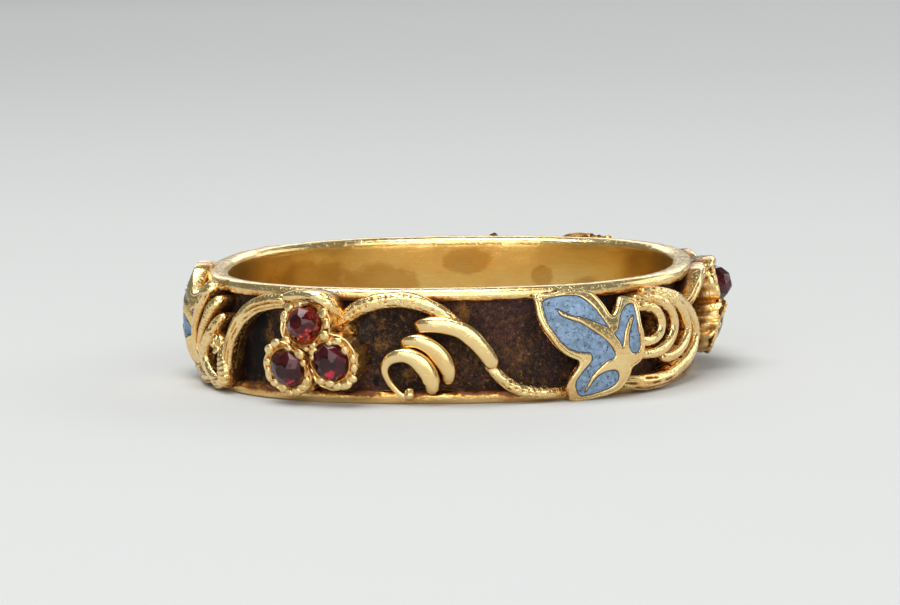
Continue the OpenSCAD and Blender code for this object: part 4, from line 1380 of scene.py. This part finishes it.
# Section of a collet, from the middle of its floor over the band of beads to its foot
COLLET_WALL: list[Spot] = [
    (0.02, -0.58), (0.4, -0.58), (0.74, -0.56), (0.755, -0.3), (0.76, -0.2), (0.77, -0.15),
    (0.8, -0.12), (0.83, -0.13), (0.86, -0.17), (0.9, -0.2), (0.96, -0.21), (1.02, -0.2),
    (1.06, -0.16), (1.09, -0.15), (1.12, -0.18), (1.13, -0.26), (1.13, -0.4), (1.11, -0.6),
    (1.06, -0.95), (1.0, -1.25), (0.94, -1.54), (0.4, -1.54), (0.02, -1.54),
]


@dataclass(frozen=True)
class StoneSeat:
    """Where one stone of a bunch sits, how high its crown stands, and its turn and lean."""

    name: str
    t: float
    z: float
    crown: float
    turn: float
    lean: float


SEATS: list[StoneSeat] = [
    StoneSeat("top", -30.9, 0.95, 0.56, 32, 12),
    StoneSeat("left", -34.4, -0.8, 0.36, 32, -12),
    StoneSeat("right", -25, -0.48, 0.36, 14, -8),
]
BUNCH_MIDDLE: Spot = (-30, -0.08)


@dataclass
class Bunch:
    """A bunch of grapes: three garnets in collets with a border of gold beads.

    Its low stones are tipped further down by tip, in degrees. For each degree they lie
    deeper by tip_sink, and their crown is lower by tip_crown and the stone deeper in its
    collet by tip_stone, in millimetres.
    """

    spray: int
    rise: float = 0.0
    rim_r: float = 11.15
    tip: float = 0.0
    tip_sink: float = 1 / 80
    tip_crown: float = 1 / 40
    tip_stone: float = 1 / 120
    root_r: float = 9.42
    girdle_drop: float = 0.08
    dome_r: float = 4.5
    dome_z: float = -0.3
    band_r: float = 0.84
    flutes: int = 14
    stone_r: float = 0.74
    table_r: float = 0.28
    culet_r: float = 0.06
    pavilion: float = 0.42
    facets: int = 8
    bead_swell: float = 1.2
    bead_sink: float = 0.2

    @property
    def turn(self) -> float:
        """The spray's angle on the ring."""
        return self.spray * SPRAY_TURN

    def stand(self, t: float, z: float, sink: float = 0.0, lean: float | None = None) -> Matrix:
        """Gives the frame of a piece on the bunch's domed face.

        Args:
            t: The piece's angle.
            z: Its height.
            sink: How far below the face it lies.
            lean: How far it leans upwards, in degrees, or None to lean with the dome.

        Returns:
            A matrix from the piece's millimetres to the ring's metres.
        """
        away = z - self.dome_z
        if lean is None:
            lean = math.degrees(away / self.dome_r)
        r = self.rim_r - sink - away * away / (2 * self.dome_r)
        return RING.stand(self.turn + t, z + self.rise, r) @ Matrix.Rotation(
            math.radians(-lean), 4, "X")

    def tipped(self, seat: StoneSeat) -> float:
        """Returns how far a seat is tipped down in this bunch, in degrees."""
        return self.tip if seat.lean < 0 else 0.0

    def seat_frame(self, seat: StoneSeat, sink: float = 0.0) -> Matrix:
        """Returns the frame of a seat's collet, or of a place that lies deeper by sink."""
        tipped = self.tipped(seat)
        return self.stand(seat.t, seat.z, tipped * self.tip_sink + sink, seat.lean - tipped)

    def collet(self, bm: bmesh.types.BMesh, seat: StoneSeat) -> None:
        """Turns one collet and sets it on the ring.

        Args:
            bm: The bunch's mesh.
            seat: The collet's seat.
        """
        recess_and_shade = bm.verts.layers.float[RECESS_AND_SHADE]
        known = set(bm.verts)
        verts = [bm.verts.new((r, 0, z)) for r, z in smooth_line(COLLET_WALL, 2)]
        edges = [bm.edges.new(pair) for pair in zip(verts, verts[1:])]
        bmesh.ops.spin(bm, geom=verts + edges, cent=(0, 0, 0), axis=(0, 0, 1), angle=math.tau,
                       steps=56, use_merge=True)
        made = [v for v in bm.verts if v not in known]
        stand = self.seat_frame(seat)
        slant = math.tan(math.radians(self.tipped(seat) - seat.lean))
        root = (self.root_r + RING.worn(self.turn + seat.t)) * MM
        middle_t, middle_z = BUNCH_MIDDLE
        inwards = Vector((RING.along(middle_t - seat.t), middle_z - seat.z)).normalized()
        for v in made:
            x, y, z = v.co
            r = math.hypot(x, y)
            middle = smoothstep((x * inwards.x + y * inwards.y) / r, 0.35, 0.85)
            inner = min(r, self.band_r)
            out = (r - inner) * (1 - 0.7 * middle) + inner
            flute = 0.05 * math.cos(self.flutes * math.atan2(y, x) + 2 * z)
            flute *= smoothstep(-z, 0.12, 0.35)
            flute += 0.06 * grain(x, y, z, 3.2, seat.t)
            flute *= smoothstep(r, 0.7, 0.8) * smoothstep(-z, 0.05, 0.3)
            bulge = 0.03 * grain(x, y, 0, 1.8, self.spray + seat.t) * smoothstep(r, 0.8, 1)
            swell = out / r + bulge - flute
            band = (1 - smoothstep(r, 1.01, 1.07)) * smoothstep(z, -0.3, -0.22)
            # Painted shade: the collet's outer wall darkens the deeper it lies; its flutes hold
            # residue.
            wall_shade_and_residue = 0.4 * smoothstep(-z, 0.08, 0.3) + 0.3 * smoothstep(-z, 0.5, 1.2)
            wall_shade_and_residue += 4 * flute * smoothstep(-z, 0.1, 0.2)
            v[recess_and_shade] = min(1.0, max(wall_shade_and_residue, 0.6 * band))
            lift = 0.06 * grain(x, y, seat.t, 4.2, self.spray)
            lift *= smoothstep(r, self.band_r - 0.06, self.band_r) * smoothstep(z, -0.4, -0.2)
            lift -= 0.06 * middle * smoothstep(r, self.band_r, self.band_r + 0.06)
            place = stand @ Vector((x * swell, y * swell + slant * min(0.0, z + 0.3), z + lift))
            out = max(1.0, root / math.hypot(place.x, place.y))
            v.co = (place.x * out, place.y * out, place.z)

    def bead(self, bm: bmesh.types.BMesh, row: BeadRow, k: int) -> None:
        """Adds one bead.

        Args:
            bm: The bunch's mesh.
            row: Its angle, height, length, width and turn.
            k: Its number, which varies its shape.
        """
        recess_and_shade = bm.verts.layers.float[RECESS_AND_SHADE]
        t, z, long, wide, turn = row
        long, wide = self.bead_swell * long, self.bead_swell * wide
        made = bmesh.ops.create_icosphere(bm, subdivisions=3, radius=1)["verts"]
        seed = k + 40 * self.spray
        seat = min(SEATS, key=lambda s: math.hypot(math.radians(t - s.t) * self.rim_r, z - s.z))
        height = 0.03 * noise.noise(Vector((seed, 1, 2))) - self.bead_sink
        spot = Vector((math.radians(t - 0.3 - seat.t) * self.rim_r, z - seat.z, height))
        stand = self.seat_frame(seat) @ Matrix.Translation(spot)
        spin = Matrix.Rotation(math.radians(turn), 4, "Z")
        for v in made:
            x, y, up = v.co
            # Painted shade on the lower half of each bead, with a little residue noise.
            v[recess_and_shade] = 0.95 * smoothstep(-up, -0.4, 0.0) + 0.2 * grain(x, y, up, 1.5, seed)
            swell = 1 + 0.1 * noise.noise(v.co * 1.3 + Vector((seed, 0, 0)))
            swell *= max(1e-4, math.hypot(x, y)) ** -0.3
            v.co = stand @ (spin @ Vector((x * long * swell, y * wide * swell,
                                           math.copysign(abs(up) ** 0.7, up) * 0.14)))

    def garnet(self, seat: StoneSeat, finishes: Finishes) -> None:
        """Cuts one garnet and sets it in its collet.

        Args:
            seat: Where it sits.
            finishes: The ring's finishes.
        """
        bm = bmesh.new()
        half = math.pi / self.facets
        tipped = self.tipped(seat)
        crown = seat.crown - tipped * self.tip_crown
        rings = [
            (self.table_r, crown, 0.0), (0.8 * self.stone_r, 0.55 * crown, half),
            (self.stone_r, 0.02, 0.0), (self.stone_r, -0.02, 0.0),
            (self.culet_r, -self.pavilion, 0.0),
        ]
        for radius, height, turn in rings:
            made = bmesh.ops.create_circle(bm, segments=self.facets, radius=radius)["verts"]
            bmesh.ops.rotate(bm, verts=made, cent=(0, 0, 0), matrix=Matrix.Rotation(turn, 3, "Z"))
            bmesh.ops.translate(bm, verts=made, vec=(0, 0, height))
        bmesh.ops.convex_hull(bm, input=bm.verts)
        bmesh.ops.dissolve_limit(bm, angle_limit=math.radians(1), verts=bm.verts, edges=bm.edges)
        bmesh.ops.rotate(bm, verts=bm.verts, cent=(0, 0, 0),
                         matrix=Matrix.Rotation(math.radians(seat.turn), 3, "Z"))
        bmesh.ops.bevel(bm, geom=list(bm.edges), offset=0.006, offset_type="OFFSET", affect="EDGES",
                        segments=1, profile=0.5, material=-1)
        stand = self.seat_frame(seat, self.girdle_drop + tipped * self.tip_stone)
        bmesh.ops.transform(bm, matrix=stand, verts=bm.verts)
        name = f"garnet_{self.spray + 1}_{seat.name}"
        bright = seat.name == "top" and self.spray == 0
        glass = finishes.bright_garnet if bright else finishes.garnet
        Workshop.piece(bm, f"{name}_stone", glass, "garnet", [name], smooth=False)

    def build(self, finishes: Finishes) -> None:
        """Builds the collets with their beads, and the garnets."""
        bm = strip()
        for seat in SEATS:
            self.collet(bm, seat)
        for k, row in enumerate(BEADS):
            self.bead(bm, row, k)
        Workshop.piece(bm, f"bunch_{self.spray + 1}", finishes.granulated, "gold")
        for seat in SEATS:
            self.garnet(seat, finishes)


@dataclass(frozen=True)
class Softbox:
    """One soft light: where it stands, its size and its strength."""

    name: str
    place: tuple[float, float, float]
    size: tuple[float, float]
    power: float
    colour: tuple[float, float, float] = (1, 1, 1)


@dataclass
class Studio:
    """The pale floor, the soft lights and the camera."""

    floor_z: float = -2.2
    tilt: float = 7.213
    roll: float = 0.99
    distance: float = 152.4
    lens: float = 150.8
    shift: Spot = (-0.00215, 0.01359)
    lights: Sequence[Softbox] = (
        Softbox("top", (-0.05, -0.04, 0.3), (0.26, 0.2), 0.85),
        Softbox("front", (0.0, -0.36, 0.135), (0.5, 0.26), 0.9),
        Softbox("back", (0.03, 0.4, 0.15), (0.5, 0.12), 0.35),
        Softbox("right", (0.34, 0.14, 0.13), (0.3, 0.24), 0.35),
    )

    def floor(self) -> None:
        """Lays the plain pale floor."""
        bm = bmesh.new()
        bmesh.ops.create_circle(bm, cap_ends=True, segments=96, radius=3)
        bmesh.ops.translate(bm, verts=bm.verts, vec=(0, 0, self.floor_z * MM))
        mesh = bpy.data.meshes.new("floor")
        bm.to_mesh(mesh)
        bm.free()
        paper, _, shader = new_material("pale_paper")
        shader.inputs["Base Color"].default_value = (0.62, 0.62, 0.61, 1)
        shader.inputs["Roughness"].default_value = 0.9
        mesh.materials.append(paper)
        floor = bpy.data.objects.new("floor", mesh)
        bpy.context.scene.collection.objects.link(floor)

    def light(self) -> None:
        """Sets up the soft lights and the room's dim light."""
        world = bpy.data.worlds.new("studio")
        world.use_nodes = True
        background = world.node_tree.nodes["Background"]
        background.inputs["Color"].default_value = (0.85, 0.95, 0.95, 1)
        background.inputs["Strength"].default_value = 0.24
        bpy.context.scene.world = world
        for box in self.lights:
            data = bpy.data.lights.new(box.name, "AREA")
            data.shape = "RECTANGLE"
            data.size, data.size_y = box.size
            data.energy = box.power
            data.color = box.colour
            lamp = bpy.data.objects.new(box.name, data)
            lamp.location = box.place
            lamp.rotation_euler = Vector(box.place).to_track_quat("Z", "Y").to_euler()
            bpy.context.scene.collection.objects.link(lamp)

    def camera(self) -> None:
        """Sets the camera at the photograph's viewing angle."""
        e, roll = math.radians(self.tilt), math.radians(self.roll)
        right = Vector((1, 0, 0))
        up = Vector((0, math.sin(e), math.cos(e)))
        back = Vector((0, -math.cos(e), math.sin(e)))
        x = right * math.cos(roll) - up * math.sin(roll)
        y = right * math.sin(roll) + up * math.cos(roll)
        data = bpy.data.cameras.new("camera")
        data.sensor_width = 36
        data.lens = self.lens
        data.shift_x, data.shift_y = self.shift
        data.clip_start = 0.01
        camera = bpy.data.objects.new("camera", data)
        aim = Matrix((x, y, back)).transposed().to_4x4()
        camera.matrix_world = Matrix.Translation(back * self.distance * MM) @ aim
        bpy.context.scene.collection.objects.link(camera)
        bpy.context.scene.camera = camera

    def build(self) -> None:
        """Builds the whole studio."""
        bpy.context.scene.view_settings.view_transform = "Standard"
        self.floor()
        self.light()
        self.camera()


BUNCHES: list[Bunch] = [Bunch(0), Bunch(1, rise=0.2, rim_r=11.26, tip=8), Bunch(2)]
LEAF_SEATS: list[LeafSeat] = [
    LeafSeat(turn=0, rise=0), LeafSeat(turn=2, rise=0.24),
    LeafSeat(turn=8.5, rise=0.28, lift=0.13, press=0.8, thick=0.7, bare_z=-0.9),
]


def main() -> None:
    """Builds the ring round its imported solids, and the studio."""
    logging.basicConfig(level=logging.INFO, format="%(name)s %(message)s")
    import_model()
    finishes = Finishes()
    Hoop().build(finishes)
    for spray in range(SPRAYS):
        Vine(spray).build(finishes)
        Leaf(spray, LEAF_SEATS[spray]).build(finishes)
        BUNCHES[spray].build(finishes)
    Studio().build()


if __name__ == "__main__":
    main()
